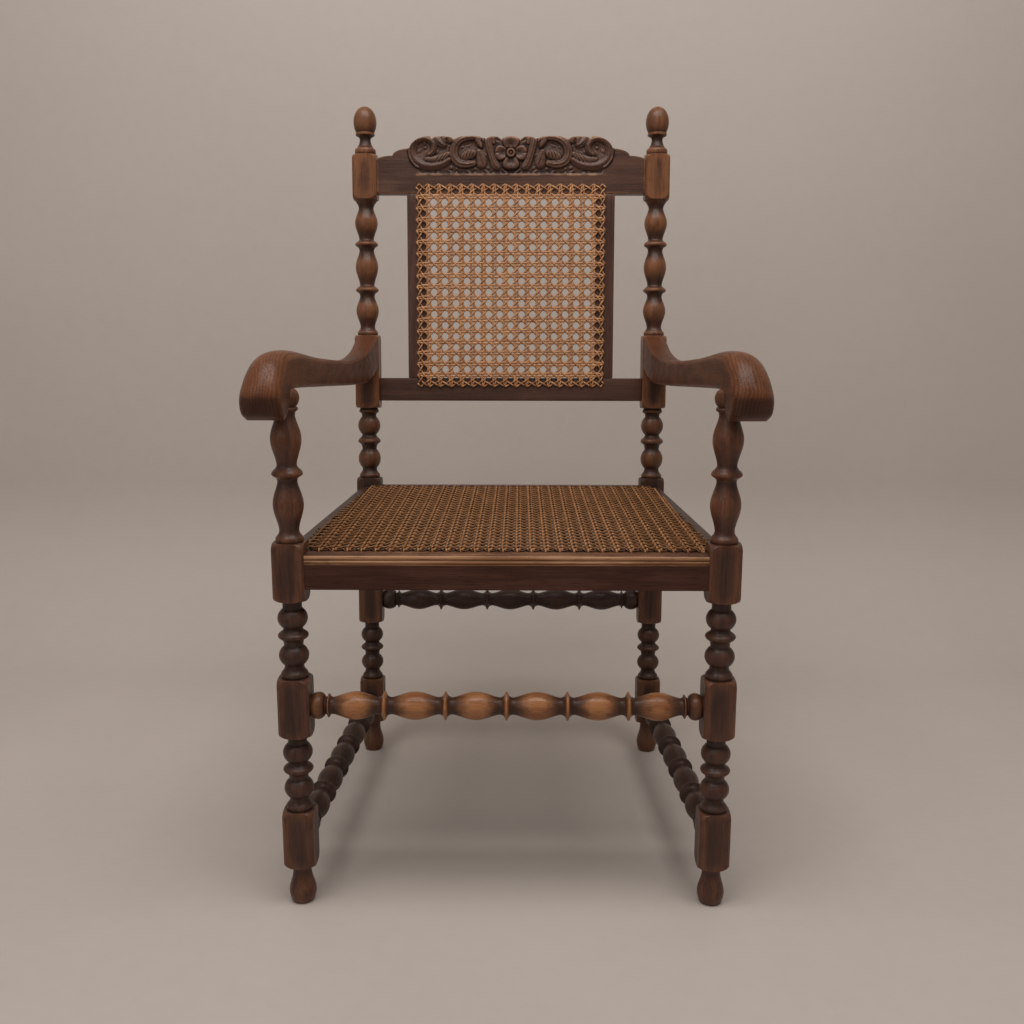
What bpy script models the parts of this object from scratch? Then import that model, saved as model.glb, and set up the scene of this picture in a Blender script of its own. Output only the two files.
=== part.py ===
"""Library armchair: turned oak posts, sawn arms, a carved crest rail, and a caned seat and back.

Metres, +Z up. The chair faces -Y, left is the -X side, and the feet stand on z = 0.
"""
import math

import bmesh
import bpy
from mathutils import Matrix, Vector

CHAIR = "library_chair"

# Stance of the four posts
CHAIR_HEIGHT = 1.0564           # floor to the tips of the finials
FRONT_SPREAD = 0.517            # between the front leg axes
REAR_SPREAD = 0.467             # between the rear post axes
FLOOR_DEPTH = 0.472             # front axes to rear axes, at the floor
RAKE = math.radians(3.92)       # backward lean of the rear posts
STOCK = 0.0385                  # square section that every post is turned from
ARRIS = 0.003                   # chamfer on the long edges of that square
FIT = 0.0003                    # clearance at every joint
TURNED_SIDES = 12

# Lengths along a post, in order from the floor
FOOT = 0.0505
STRETCHER_BLOCK = 0.075
LEG_BOBBIN = 0.097
SEAT_BLOCK = 0.0715
ARM_SUPPORT = 0.181             # front legs only, up to the underside of the arm
BACK_BOBBIN = 0.1148            # rear posts only, from here on
ARM_BLOCK = 0.1176
TOP_BLOCK = 0.0702
FINIAL = 0.0755

# Turned members
BELLY = 0.0182                  # radius of a bobbin or baluster at its fullest
NECK = 0.0121                   # radius between members
COLLAR = 0.0183                 # radius of the sharp disc between two swellings
COLLAR_EDGE = 0.0035            # thickness of that disc at its rim
COLLAR_SEAT = 0.4               # where the disc lies in its hollow: undercut below, a longer cove above
LEG_COLLAR = 0.018              # neck to neck across a collar on the legs
SUPPORT_COLLAR = 0.0205
BACK_COLLAR = 0.0232
RING = 0.0165                   # radius of the ring on top of a block
RING_ZONE = 0.0115              # its height, with the hollow above it
CAP_RING = 0.0145               # radius of the small ring under a block or a ball
CAP_ZONE = 0.0115
HEAD_NECK = 0.009               # hollow between the last bobbin and the block above
SUPPORT_BALL = 0.0152           # radius of the ball that carries the arm
SUPPORT_BALL_HEIGHT = 0.021
FOOT_BELLY = 0.0169
FOOT_BELLY_HEIGHT = 0.0146
FOOT_SOLE = 0.013
SHOULDER_RISE = 0.0085          # height of the rounded shoulder under a block
SHOULDER_DROP = 0.0085          # and on top of it

# Stretchers
STRETCHER_BELLY = 0.0171
STRETCHER_NECK = 0.0114
STRETCHER_COLLAR = 0.0174
STRETCHER_COLLAR_EDGE = 0.003
STRETCHER_COLLAR_ZONE = 0.010   # neck to neck across a collar
STRETCHER_RING = 0.0146         # radius of the ring beside the end ball
STRETCHER_BALL = 0.0167
STRETCHER_HEEL = 0.0125         # radius where the end ball meets the post
STRETCHER_TENON = 0.009
STRETCHER_TENON_DEPTH = 0.020
STRETCHER_SIDES = 10
FRONT_STRETCHER_CELLS = 6
FRONT_STRETCHER_END = 0.0215    # post to the first ring
OTHER_STRETCHER_CELLS = 5
OTHER_STRETCHER_END = 0.0270
END_CELL_SHARE = 0.92           # the outer swellings are a little shorter than the inner ones

# Seat frame
SEAT_SETDOWN = 0.0135           # from the top of the seat blocks to the top of the rails
RAIL_HEIGHT = 0.042
RAIL_WIDTH = 0.036              # front and rear rails
FRONT_RAIL_SETBACK = 0.0025     # from the front of the leg to the face of the rail
REAR_RAIL_SETBACK = 0.014       # from the back of the post to the back of the rail
SIDE_RAIL_WIDTH = 0.0285
SIDE_RAIL_SETBACK = 0.0095      # from the outside of the posts
NOSING = 0.0052                 # radius of the rounded upper edge of the front rail
NOSING_BEAD = 0.003             # height of the bead below it
NOSING_QUIRK = 0.001            # depth of the groove between them
CANE_OVERLAP = 0.0095           # the cane laps this far over its frame
SEAT_FRONT_LAP = 0.0225         # and further at the front of the seat
SEAT_SIDE_LAP = 0.0125          # and at its sides
CANE_THICKNESS = 0.0038         # of the crossing layers of strands together
CANE_OPEN = 0.56                # width of an opening in the weave, as a share of its cell
BACK_CANE_CELLS = (8, 8)        # openings across and along, about twice as far apart as in the real weave
SEAT_CANE_CELLS = (9, 9)

# Back frame, measured along the rear posts
BACK_THICKNESS = 0.020
LOWER_RAIL_LIFT = 0.0117        # above the bottom of the arm blocks
LOWER_RAIL_HEIGHT = 0.037
STILE_WIDTH = 0.031
STILE_GAP = 0.04775             # between a stile and the post beside it
CREST_LIFT = 0.0094             # above the bottom of the top blocks
CREST_THICKNESS = 0.023
CREST_END = 0.051               # height of the crest where it meets the posts
CREST_STEP = 0.0075             # rise of the lower curve of the ear
CREST_SHOULDER = 0.011          # rise of the upper curve of the ear
CREST_VALLEY = 0.0125           # rise from there to the lowest points between the carved lobes
CREST_LOBE = 0.0065             # height of a lobe above them
CREST_LOBES = (0.072, 0.182, 0.429, 0.597, 0.754)   # where each lobe ends, as shares of half the crest
CREST_EAR = 0.882               # and where the ear steps down
CREST_BEAD_LIFT = 0.0315        # bead below the carving
CREST_BEAD = 0.006
CREST_BEAD_PROUD = 0.002
CARVING_RELIEF = 0.004          # height of the carving in front of the crest
CARVING_ROOT = 0.003            # and how far it goes into it
# Strokes of the carving, on the right half: across as a share of half the crest, then up and
# half-width as shares of its height
CARVING = {
    "outer_scroll": (
        (0.627, 0.740, 0.048), (0.587, 0.793, 0.046), (0.583, 0.876, 0.046), (0.627, 0.915, 0.046),
        (0.680, 0.895, 0.050), (0.713, 0.814, 0.058), (0.713, 0.700, 0.066), (0.688, 0.580, 0.078),
        (0.635, 0.514, 0.083), (0.560, 0.505, 0.083), (0.495, 0.565, 0.070), (0.469, 0.644, 0.045),
    ),
    "inner_scroll": (
        (0.206, 0.814, 0.034), (0.224, 0.888, 0.040), (0.271, 0.922, 0.042), (0.330, 0.922, 0.042),
        (0.386, 0.880, 0.044), (0.416, 0.791, 0.048), (0.421, 0.669, 0.050), (0.402, 0.550, 0.058),
        (0.352, 0.495, 0.064), (0.292, 0.510, 0.050),
    ),
    "tongue": ((0.213, 0.712, 0.048), (0.213, 0.590, 0.074), (0.227, 0.495, 0.050)),
    "leaf": ((0.176, 0.895, 0.046), (0.154, 0.768, 0.050), (0.130, 0.615, 0.050), (0.114, 0.480, 0.058)),
}
EYE = (0.315, 0.690, 0.105)     # ball inside the inner scroll
FLOWER_PETALS = 4
FLOWER_LEVEL = 0.712            # height of the flower in the middle, a share as above
FLOWER_REACH = 0.174            # from there to the middle of a petal
FLOWER_PETAL = 0.110            # half-width of a petal
FLOWER_EYE = 0.080

# Joints
TENON_WIDTH = 0.008
TENON_DEPTH = 0.014
TENON_ROOT = 0.010              # length of a tongue inside its own rail
TENON_SHOULDER = 0.006          # left above and below a tongue
ARM_TENON = 0.0085              # radius of the pin on top of a front leg
ARM_TENON_HEIGHT = 0.022
DOWEL = 0.005                   # radius of the dowel between an arm and its post
DOWEL_LENGTH = 0.044
DOWEL_HEIGHT = 0.42             # share of the arm's height at the post

# Arms: each station is where a section crosses the top and the underside, seen from the side.
# The first four are shares of the reach from leg to post; the rest lie about the front leg.
ARM_HEIGHT = 0.050              # rise from the top of the leg to the arm's end at the post
ARM_REACH = 0.0665              # the scroll in front of the leg axis
ARM_FLARE = 0.0155              # the scroll outside the leg axis
ARM_BOW = 0.006                 # outward bow half-way along
ARM_REAR_WIDTH = 0.037
ARM_FRONT_WIDTH = 0.050
ARM_REAR_ROUND = 0.013          # rounding of the outer top edge at the post
ARM_FRONT_ROUND = 0.040         # and over the scroll
ARM_DROP = 0.0325               # depth of the scroll below the top of the leg
ARM_EDGE_ROUND = 0.004          # rounding of the other edges
ARM_STEPS = 2                   # sections between stations

OAK = (0.085, 0.037, 0.020)
WORN_OAK = (0.150, 0.066, 0.031)
CANE = (0.420, 0.235, 0.110)
MERGE = 0.00001


def post_y(z):
    """Y of the rear post axes at a height above the floor."""
    return FRONT_Y + FLOOR_DEPTH + z * math.tan(RAKE)


def corner(side):
    """Name of a side: -1 is left."""
    return "left" if side < 0 else "right"


LEG_BLOCKS = (FOOT, FOOT + STRETCHER_BLOCK + LEG_BOBBIN)
SEAT_BLOCK_BASE = FOOT + 2 * (STRETCHER_BLOCK + LEG_BOBBIN)
ARM_REST = SEAT_BLOCK_BASE + SEAT_BLOCK + ARM_SUPPORT
ARM_BLOCK_BASE = SEAT_BLOCK_BASE + SEAT_BLOCK + BACK_BOBBIN
BACK_TURNING_BASE = ARM_BLOCK_BASE + ARM_BLOCK
POST_LENGTH = CHAIR_HEIGHT / math.cos(RAKE)
FINIAL_BASE = POST_LENGTH - FINIAL
TOP_BLOCK_BASE = FINIAL_BASE - TOP_BLOCK
BACK_TURNING = TOP_BLOCK_BASE - BACK_TURNING_BASE
SEAT_TOP = SEAT_BLOCK_BASE + SEAT_BLOCK - SEAT_SETDOWN
LOWER_RAIL_BASE = ARM_BLOCK_BASE + LOWER_RAIL_LIFT
CREST_BASE = TOP_BLOCK_BASE + CREST_LIFT
BACK_OPENING = REAR_SPREAD - STOCK - 2 * (STILE_GAP + STILE_WIDTH)
LOWER_STRETCHER = FOOT + STRETCHER_BLOCK / 2
UPPER_STRETCHER = LEG_BLOCKS[1] + STRETCHER_BLOCK / 2
FINIAL_BELLY = FINIAL_BASE + 0.66 * FINIAL
BACK_REACH = FINIAL_BELLY * math.sin(RAKE) + BELLY * math.cos(RAKE)
FRONT_Y = (ARM_REACH - FLOOR_DEPTH - BACK_REACH) / 2   # puts the origin under the middle of the chair


def clear_scene():
    for obj in list(bpy.data.objects):
        bpy.data.objects.remove(obj, do_unlink=True)


def new_collection(name):
    collection = bpy.data.collections.new(name)
    bpy.context.scene.collection.children.link(collection)
    return collection


clear_scene()
PARTS = new_collection(CHAIR)
CUTTERS = new_collection(CHAIR + "_cutters")


def mesh_object(name, bm, collection, parent=None):
    mesh = bpy.data.meshes.new(name)
    bm.to_mesh(mesh)
    bm.free()
    obj = bpy.data.objects.new(name, mesh)
    collection.objects.link(obj)
    obj.parent = parent
    if collection == CUTTERS:
        obj.hide_render = True
        obj.display_type = "WIRE"
    return obj


def finish(obj, colour, roughness):
    """Gives a piece its own plain material."""
    material = bpy.data.materials.new(obj.name + "_finish")
    material.use_nodes = True
    shader = material.node_tree.nodes["Principled BSDF"]
    shader.inputs["Base Color"].default_value = (*colour, 1.0)
    shader.inputs["Roughness"].default_value = roughness
    shader.inputs["Metallic"].default_value = 0.0
    obj.data.materials.append(material)
    return obj


def boolean(target, tool, operation):
    modifier = target.modifiers.new(f"{operation} {tool.name}", "BOOLEAN")
    modifier.operation = operation
    modifier.object = tool
    modifier.solver = "EXACT"


def box(name, centre, size, collection=None, parent=None, turn=0.0):
    """Box about a centre, turned about the vertical."""
    bm = bmesh.new()
    bmesh.ops.create_cube(bm, size=1.0, matrix=Matrix.Diagonal((*size, 1.0)))
    obj = mesh_object(name, bm, collection or CUTTERS, parent)
    obj.location = centre
    obj.rotation_euler = (0.0, 0.0, turn)
    return obj


def turned(name, profile, sides, collection, parent=None):
    """Solid turned about its own Z axis from (height, radius) pairs, lowest first."""
    bm = bmesh.new()
    outline = [(profile[0][0], 0.0), *profile, (profile[-1][0], 0.0)]
    points = [bm.verts.new((radius, 0.0, height)) for height, radius in reversed(outline)]
    for upper, lower in zip(points, points[1:]):
        bm.edges.new((upper, lower))
    obj = mesh_object(name, bm, collection, parent)
    screw = obj.modifiers.new("Turning", "SCREW")
    screw.steps = sides
    screw.render_steps = sides
    screw.use_merge_vertices = True
    screw.merge_threshold = MERGE
    screw.use_smooth_shade = True
    return obj


def plate(name, outline, thickness, collection, parent=None):
    """Flat piece cut from a board: a filled 2D outline in XY, with its thickness about z = 0."""
    curve = bpy.data.curves.new(name + "_outline", "CURVE")
    curve.dimensions = "2D"
    curve.fill_mode = "BOTH"
    curve.extrude = thickness / 2
    spline = curve.splines.new("POLY")
    spline.points.add(len(outline) - 1)
    for point, (x, y) in zip(spline.points, outline):
        point.co = (x, y, 0.0, 1.0)
    spline.use_cyclic_u = True
    drawn = bpy.data.objects.new(name + "_outline", curve)
    PARTS.objects.link(drawn)
    graph = bpy.context.evaluated_depsgraph_get()
    mesh = bpy.data.meshes.new_from_object(drawn.evaluated_get(graph))
    bpy.data.objects.remove(drawn, do_unlink=True)
    bm = bmesh.new()
    bm.from_mesh(mesh)
    bpy.data.meshes.remove(mesh)
    bmesh.ops.remove_doubles(bm, verts=bm.verts, dist=MERGE)
    bmesh.ops.dissolve_limit(bm, angle_limit=math.radians(0.5), verts=[], edges=bm.edges)
    return mesh_object(name, bm, collection, parent)


def arc(centre, radius, start, end, steps):
    """Points of a circular or elliptical arc; angles in degrees."""
    across, up = radius if isinstance(radius, tuple) else (radius, radius)
    angles = [math.radians(start + (end - start) * step / steps) for step in range(steps + 1)]
    return [(centre[0] + across * math.cos(a), centre[1] + up * math.sin(a)) for a in angles]


# Members of a turned profile. Each returns (height, radius) pairs and leaves its upper end to the next.

def swelling(base, length, belly, neck):
    rows = [(base, neck)]
    for share in (0.2, 0.5, 0.8):
        rows.append((base + length * share, neck + (belly - neck) * math.sin(math.pi * share) ** 0.6))
    return rows


def collar(base, zone, radius, edge, neck, seat=0.5):
    middle = base + zone * seat
    return [(base, neck), (middle - edge / 2, radius), (middle + edge / 2, radius)]


def ring(base, radius):
    cove = NECK + (radius - NECK) * 0.4
    return [(base, radius * 0.96), (base + RING_ZONE * 0.3, radius), (base + RING_ZONE * 0.55, cove)]


def cap(base, radius):
    return [(base, NECK), (base + CAP_ZONE * 0.65, radius), (base + CAP_ZONE * 0.9, radius)]


def block(base, length):
    """Part left square: wider than the stock, with a rounded shoulder at each end."""
    half = STOCK / 2
    wide = STOCK * 0.715
    between = half + (wide - half) * 0.8
    top = base + length
    return [
        (base, half), (base + SHOULDER_RISE * 0.4, between), (base + SHOULDER_RISE, wide),
        (top - SHOULDER_DROP, wide), (top - SHOULDER_DROP * 0.4, between), (top, half),
    ]


def swellings(base, length, count, zone, neck=NECK):
    """A row of equal swellings with a collar between each two."""
    each = (length - (count - 1) * zone) / count
    rows = []
    for index in range(count):
        start = base + index * (each + zone)
        rows += swelling(start, each, BELLY, neck)
        if index < count - 1:
            rows += collar(start + each, zone, COLLAR, COLLAR_EDGE, neck, COLLAR_SEAT)
    return rows + [(base + length, neck)]


def leg_profile(sole):
    """Foot to the top of the seat block, alike on all four posts. The sole may start below the floor."""
    rows = [
        (sole, FOOT_SOLE), (FOOT_BELLY_HEIGHT * 0.4, FOOT_BELLY * 0.94), (FOOT_BELLY_HEIGHT, FOOT_BELLY),
        (FOOT_BELLY_HEIGHT + (FOOT - FOOT_BELLY_HEIGHT) * 0.35, (FOOT_BELLY + NECK) / 2),
        (FOOT - (FOOT - FOOT_BELLY_HEIGHT) * 0.3, NECK), (FOOT - SHOULDER_RISE * 0.4, NECK),
    ]
    for base in LEG_BLOCKS:
        rows += block(base, STRETCHER_BLOCK)
        start = base + STRETCHER_BLOCK
        rows += ring(start, RING)
        run = LEG_BOBBIN - RING_ZONE - HEAD_NECK
        rows += swellings(start + RING_ZONE, run, 2, LEG_COLLAR)
    return rows + block(SEAT_BLOCK_BASE, SEAT_BLOCK)


def front_leg_profile():
    base = SEAT_BLOCK_BASE + SEAT_BLOCK
    run = ARM_SUPPORT - RING_ZONE - CAP_ZONE - SUPPORT_BALL_HEIGHT
    rows = leg_profile(0.0) + ring(base, RING)
    rows += swellings(base + RING_ZONE, run, 2, SUPPORT_COLLAR)[:-1]
    rows += cap(base + RING_ZONE + run, CAP_RING)
    rows += swelling(ARM_REST - SUPPORT_BALL_HEIGHT, SUPPORT_BALL_HEIGHT, SUPPORT_BALL, NECK)
    pin = ARM_REST + ARM_TENON_HEIGHT
    return rows + [(ARM_REST, NECK), (ARM_REST, ARM_TENON), (pin, ARM_TENON)]


def rear_post_profile(sole):
    rows = leg_profile(sole)
    base = SEAT_BLOCK_BASE + SEAT_BLOCK
    run = BACK_BOBBIN - RING_ZONE - CAP_ZONE
    rows += ring(base, RING) + swellings(base + RING_ZONE, run, 2, BACK_COLLAR)[:-1]
    rows += cap(base + RING_ZONE + run, CAP_RING) + block(ARM_BLOCK_BASE, ARM_BLOCK)
    run = BACK_TURNING - RING_ZONE - CAP_ZONE
    rows += ring(BACK_TURNING_BASE, RING)
    rows += swellings(BACK_TURNING_BASE + RING_ZONE, run, 3, BACK_COLLAR)[:-1]
    rows += cap(BACK_TURNING_BASE + RING_ZONE + run, CAP_RING) + block(TOP_BLOCK_BASE, TOP_BLOCK)
    return rows + finial()


def finial():
    """Cap, stem, cup and acorn on top of a rear post."""
    shape = (
        (0.06, RING), (0.20, RING * 0.92), (0.29, NECK * 0.66), (0.38, CAP_RING), (0.47, CAP_RING),
        (0.52, BELLY * 0.86), (0.66, BELLY), (0.80, BELLY * 0.84), (0.93, BELLY * 0.47),
        (1.0, BELLY * 0.12),
    )
    return [(FINIAL_BASE + FINIAL * share, radius) for share, radius in shape]


def blank(name, base, top, parent):
    """Square stock with chamfered long edges."""
    bm = bmesh.new()
    size = Matrix.Diagonal((STOCK, STOCK, top - base, 1.0))
    bmesh.ops.create_cube(bm, size=1.0, matrix=size)
    upright = [edge for edge in bm.edges if abs(edge.verts[0].co.z - edge.verts[1].co.z) > MERGE]
    bmesh.ops.bevel(bm, geom=upright, offset=ARRIS, segments=1, profile=0.5, affect="EDGES")
    obj = mesh_object(name, bm, CUTTERS, parent)
    obj.location.z = (base + top) / 2
    return obj


def make_post(name, profile, parent, x, y):
    """A turning kept square where the blank cuts it off."""
    post = turned(name, profile, TURNED_SIDES, PARTS, parent)
    square = blank(name + "_blank", profile[0][0] - STOCK, profile[-1][0] + STOCK, parent)
    for obj in (post, square):
        obj.location.x = x
        obj.location.y = y
    boolean(post, square, "INTERSECT")
    return finish(post, OAK, 0.42)


def make_posts(back):
    posts = {}
    floor = box("floor_cut", (0.0, 0.0, -STOCK / 2), (2 * FRONT_SPREAD, 4 * FLOOR_DEPTH, STOCK))
    for side in (-1, 1):
        name = "front_leg_" + corner(side)
        posts["front", side] = make_post(name, front_leg_profile(), None, side * FRONT_SPREAD / 2, FRONT_Y)
        name = "rear_post_" + corner(side)
        trim = 2 * FOOT_SOLE * math.tan(RAKE)
        post = make_post(name, rear_post_profile(-trim), back, side * REAR_SPREAD / 2, 0.0)
        boolean(post, floor, "DIFFERENCE")
        posts["rear", side] = post
    return posts


def joint(rail, post, name, centre, size, parent=None, turn=0.0):
    """A tongue joined to the rail, and its socket, a FIT larger, cut in the post."""
    tongue = box(name + "_tongue", centre, size, None, parent, turn)
    socket = box(name + "_socket", centre, [side + 2 * FIT for side in size], None, parent, turn)
    boolean(rail, tongue, "UNION")
    boolean(post, socket, "DIFFERENCE")


def stretcher_profile(span, cells, end, heels):
    """Ball, ring and a row of swellings with collars, between round tenons; heels clear the posts."""
    half = span / 2
    pitch = (span - 2 * end) / (cells - 2 * (1 - END_CELL_SHARE))
    neck = STRETCHER_NECK
    zone = STRETCHER_COLLAR_ZONE
    marks = [end - half, end - half + pitch * END_CELL_SHARE]
    marks += [marks[1] + pitch * (index + 1) for index in range(cells - 2)]
    marks.append(half - end)
    rows = [(-half - STRETCHER_TENON_DEPTH, STRETCHER_TENON), (heels[0] - half, STRETCHER_TENON)]
    rows += swelling(heels[0] - half, end - zone / 2 - heels[0], STRETCHER_BALL, STRETCHER_HEEL)
    for index, mark in enumerate(marks):
        outer = index in (0, cells)
        radius = STRETCHER_RING if outer else STRETCHER_COLLAR
        rows += collar(mark - zone / 2, zone, radius, STRETCHER_COLLAR_EDGE, neck)
        if index < cells:
            rows += swelling(mark + zone / 2, marks[index + 1] - mark - zone, STRETCHER_BELLY, neck)
    start = half - end + zone / 2
    rows += [(start, neck)]
    rows += swelling(start, half - heels[1] - start, STRETCHER_BALL, STRETCHER_HEEL)[1:]
    rows += [(half - heels[1], STRETCHER_HEEL), (half - heels[1], STRETCHER_TENON)]
    return rows + [(half + STRETCHER_TENON_DEPTH, STRETCHER_TENON)]


def make_stretcher(name, ends, posts, cells, end, heels=(FIT, FIT), parent=None, colour=OAK):
    """Stretcher from face to face of two posts, and the bores that take its tenons."""
    start, stop = (Vector(point) for point in ends)
    axis = stop - start
    profile = stretcher_profile(axis.length, cells, end, heels)
    bore = [(profile[0][0] - FIT, STRETCHER_TENON + FIT), (profile[-1][0] + FIT, STRETCHER_TENON + FIT)]
    rail = turned(name, profile, STRETCHER_SIDES, PARTS, parent)
    drill = turned(name + "_bore", bore, STRETCHER_SIDES, CUTTERS, parent)
    for obj in (rail, drill):
        obj.location = (start + stop) / 2
        obj.rotation_euler = axis.to_track_quat("Z", "Y").to_euler()
    for post in posts:
        boolean(post, drill, "DIFFERENCE")
    return finish(rail, colour, 0.38)


def make_stretchers(posts, back):
    inner = FRONT_SPREAD / 2 - STOCK / 2
    ends = ((-inner, FRONT_Y, UPPER_STRETCHER), (inner, FRONT_Y, UPPER_STRETCHER))
    pair = [posts["front", -1], posts["front", 1]]
    make_stretcher("stretcher_front", ends, pair, FRONT_STRETCHER_CELLS, FRONT_STRETCHER_END,
                   colour=WORN_OAK)
    inner = REAR_SPREAD / 2 - STOCK / 2
    ends = ((-inner, 0.0, UPPER_STRETCHER), (inner, 0.0, UPPER_STRETCHER))
    pair = [posts["rear", -1], posts["rear", 1]]
    make_stretcher("stretcher_rear", ends, pair, OTHER_STRETCHER_CELLS, OTHER_STRETCHER_END, parent=back)
    for side in (-1, 1):
        front, rear = side_line(side, LOWER_STRETCHER)
        run = rear - front
        start = front + run * (STOCK / 2 / run.y)
        stop = rear - run * (STOCK / 2 / math.cos(RAKE) / run.y)
        splay = abs(run.x / run.y)
        heels = (STRETCHER_HEEL * splay + FIT, STRETCHER_HEEL * (splay + math.tan(RAKE)) + FIT)
        pair = [posts["front", side], posts["rear", side]]
        make_stretcher("stretcher_side_" + corner(side), (start, stop), pair, OTHER_STRETCHER_CELLS,
                       OTHER_STRETCHER_END, heels)


def side_line(side, z):
    """Points on the front leg's and the rear post's axes at one height."""
    front = Vector((side * FRONT_SPREAD / 2, FRONT_Y, z))
    return front, Vector((side * REAR_SPREAD / 2, post_y(z), z))


def front_rail_outline():
    """Section of the front rail: flat face, bead, groove and rounded upper edge."""
    face = 0.0
    top = RAIL_HEIGHT / 2
    nose = top - NOSING
    quirk = nose - NOSING_QUIRK
    bead = quirk - NOSING_BEAD / 2
    rows = [(RAIL_WIDTH, -top), (RAIL_WIDTH, top)]
    rows += arc((face + NOSING, nose), NOSING, 90, 180, 3)
    rows += [(face + NOSING_QUIRK, nose), (face + NOSING_QUIRK, quirk)]
    rows += arc((face, bead), (NOSING_QUIRK, NOSING_BEAD / 2), 90, 270, 2)
    return rows + [(face, -top)]


def make_seat_rails(posts):
    """Four rails tenoned into the seat blocks."""
    level = SEAT_TOP - RAIL_HEIGHT / 2
    tongue = RAIL_HEIGHT - 2 * TENON_SHOULDER
    reach = TENON_ROOT + TENON_DEPTH
    inner = FRONT_SPREAD / 2 - STOCK / 2
    face = FRONT_Y - STOCK / 2 + FRONT_RAIL_SETBACK
    front = plate("seat_rail_front", front_rail_outline(), 2 * (inner - FIT), PARTS)
    front.rotation_euler = (math.pi / 2, 0.0, math.pi / 2)
    front.location = (0.0, face, level)
    for side in (-1, 1):
        x = side * (inner + (TENON_DEPTH - TENON_ROOT) / 2)
        y = face + RAIL_WIDTH * 0.25
        name = "seat_rail_front_" + corner(side)
        joint(front, posts["front", side], name, (x, y, level), (reach, TENON_WIDTH, tongue))
    finish(front, OAK, 0.42)

    inner = REAR_SPREAD / 2 - STOCK / 2
    heel = post_y(level) + STOCK / 2 - REAR_RAIL_SETBACK
    size = (2 * (inner - FIT), RAIL_WIDTH, RAIL_HEIGHT)
    rear = box("seat_rail_rear", (0.0, heel - RAIL_WIDTH / 2, level), size, PARTS)
    for side in (-1, 1):
        x = side * (inner + (TENON_DEPTH - TENON_ROOT) / 2)
        y = heel - TENON_WIDTH * 0.6
        name = "seat_rail_rear_" + corner(side)
        joint(rear, posts["rear", side], name, (x, y, level), (reach, TENON_WIDTH, tongue))
    finish(rear, OAK, 0.42)

    for side in (-1, 1):
        make_side_rail(side, level, tongue, posts)


def side_rail_offset(side):
    """From the line between the post axes to the middle of a side rail."""
    return Vector((side * (STOCK / 2 - SIDE_RAIL_SETBACK - SIDE_RAIL_WIDTH / 2), 0.0, 0.0))


def make_side_rail(side, level, tongue, posts):
    name = "seat_rail_" + corner(side)
    front, rear = side_line(side, level)
    run = rear - front
    turn = math.atan2(-run.x, run.y)
    middle = (front + rear) / 2 + side_rail_offset(side)
    rail = box(name, middle, (SIDE_RAIL_WIDTH, run.length - STOCK / 2, RAIL_HEIGHT), PARTS, None, turn)
    boolean(rail, TRIM["front"], "DIFFERENCE")
    boolean(rail, TRIM["rear"], "DIFFERENCE")
    reach = TENON_ROOT + TENON_DEPTH
    size = (TENON_WIDTH, reach, tongue)
    shift = STOCK / 2 - (TENON_DEPTH - TENON_ROOT) / 2
    near = front + run * (shift / run.y) + side_rail_offset(side)
    far = rear - run * (shift / run.y) + side_rail_offset(side)
    joint(rail, posts["front", side], name + "_front", near, size, None, turn)
    joint(rail, posts["rear", side], name + "_rear", far, size, None, turn)
    finish(rail, OAK, 0.42)


def make_trims(back):
    """Blocks that cut rails and arms to the inner faces of the posts."""
    deep = STOCK
    wide = 2 * FRONT_SPREAD
    tall = 2 * POST_LENGTH
    front = box("front_trim", (0.0, FRONT_Y + STOCK / 2 + FIT - deep / 2, 0.0), (wide, deep, tall))
    rear = box("rear_trim", (0.0, deep / 2 - STOCK / 2 - FIT, 0.0), (wide, deep, tall), None, back)
    return {"front": front, "rear": rear}


def seat_opening():
    """Half-widths and Y of the caned opening, at the front and at the rear."""
    level = SEAT_TOP - RAIL_HEIGHT / 2
    front, rear = side_line(1, level)
    run = rear - front
    near = FRONT_Y - STOCK / 2 + FRONT_RAIL_SETBACK + RAIL_WIDTH
    far = post_y(level) + STOCK / 2 - REAR_RAIL_SETBACK - RAIL_WIDTH
    inset = STOCK / 2 - SIDE_RAIL_SETBACK - SIDE_RAIL_WIDTH
    widths = [front.x + run.x * (y - FRONT_Y) / run.y + inset for y in (near, far)]
    return widths, (near, far)


def open_weave(sheet, near, far, cells, parent=None):
    """Grid of openings in a woven sheet, between two edges given as (half-width, y), drawn in XY."""
    bm = bmesh.new()
    bmesh.ops.create_grid(bm, x_segments=cells[0], y_segments=cells[1], size=1.0)
    for vert in bm.verts:
        share = (vert.co.y + 1) / 2
        vert.co.x *= near[0] + (far[0] - near[0]) * share
        vert.co.y = near[1] + (far[1] - near[1]) * share
        vert.co.z = -CANE_THICKNESS
    strand = (1 - CANE_OPEN) * (far[1] - near[1]) / cells[1]
    weave = bmesh.ops.inset_individual(bm, faces=bm.faces, thickness=strand / 2)["faces"]
    bmesh.ops.delete(bm, geom=weave, context="FACES")
    raised = bmesh.ops.extrude_face_region(bm, geom=bm.faces)["geom"]
    tops = [item for item in raised if isinstance(item, bmesh.types.BMVert)]
    bmesh.ops.translate(bm, verts=tops, vec=(0.0, 0.0, 2 * CANE_THICKNESS))
    bmesh.ops.recalc_face_normals(bm, faces=bm.faces)
    openings = mesh_object(sheet.name + "_openings", bm, CUTTERS, parent)
    boolean(sheet, openings, "DIFFERENCE")
    return openings


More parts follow.
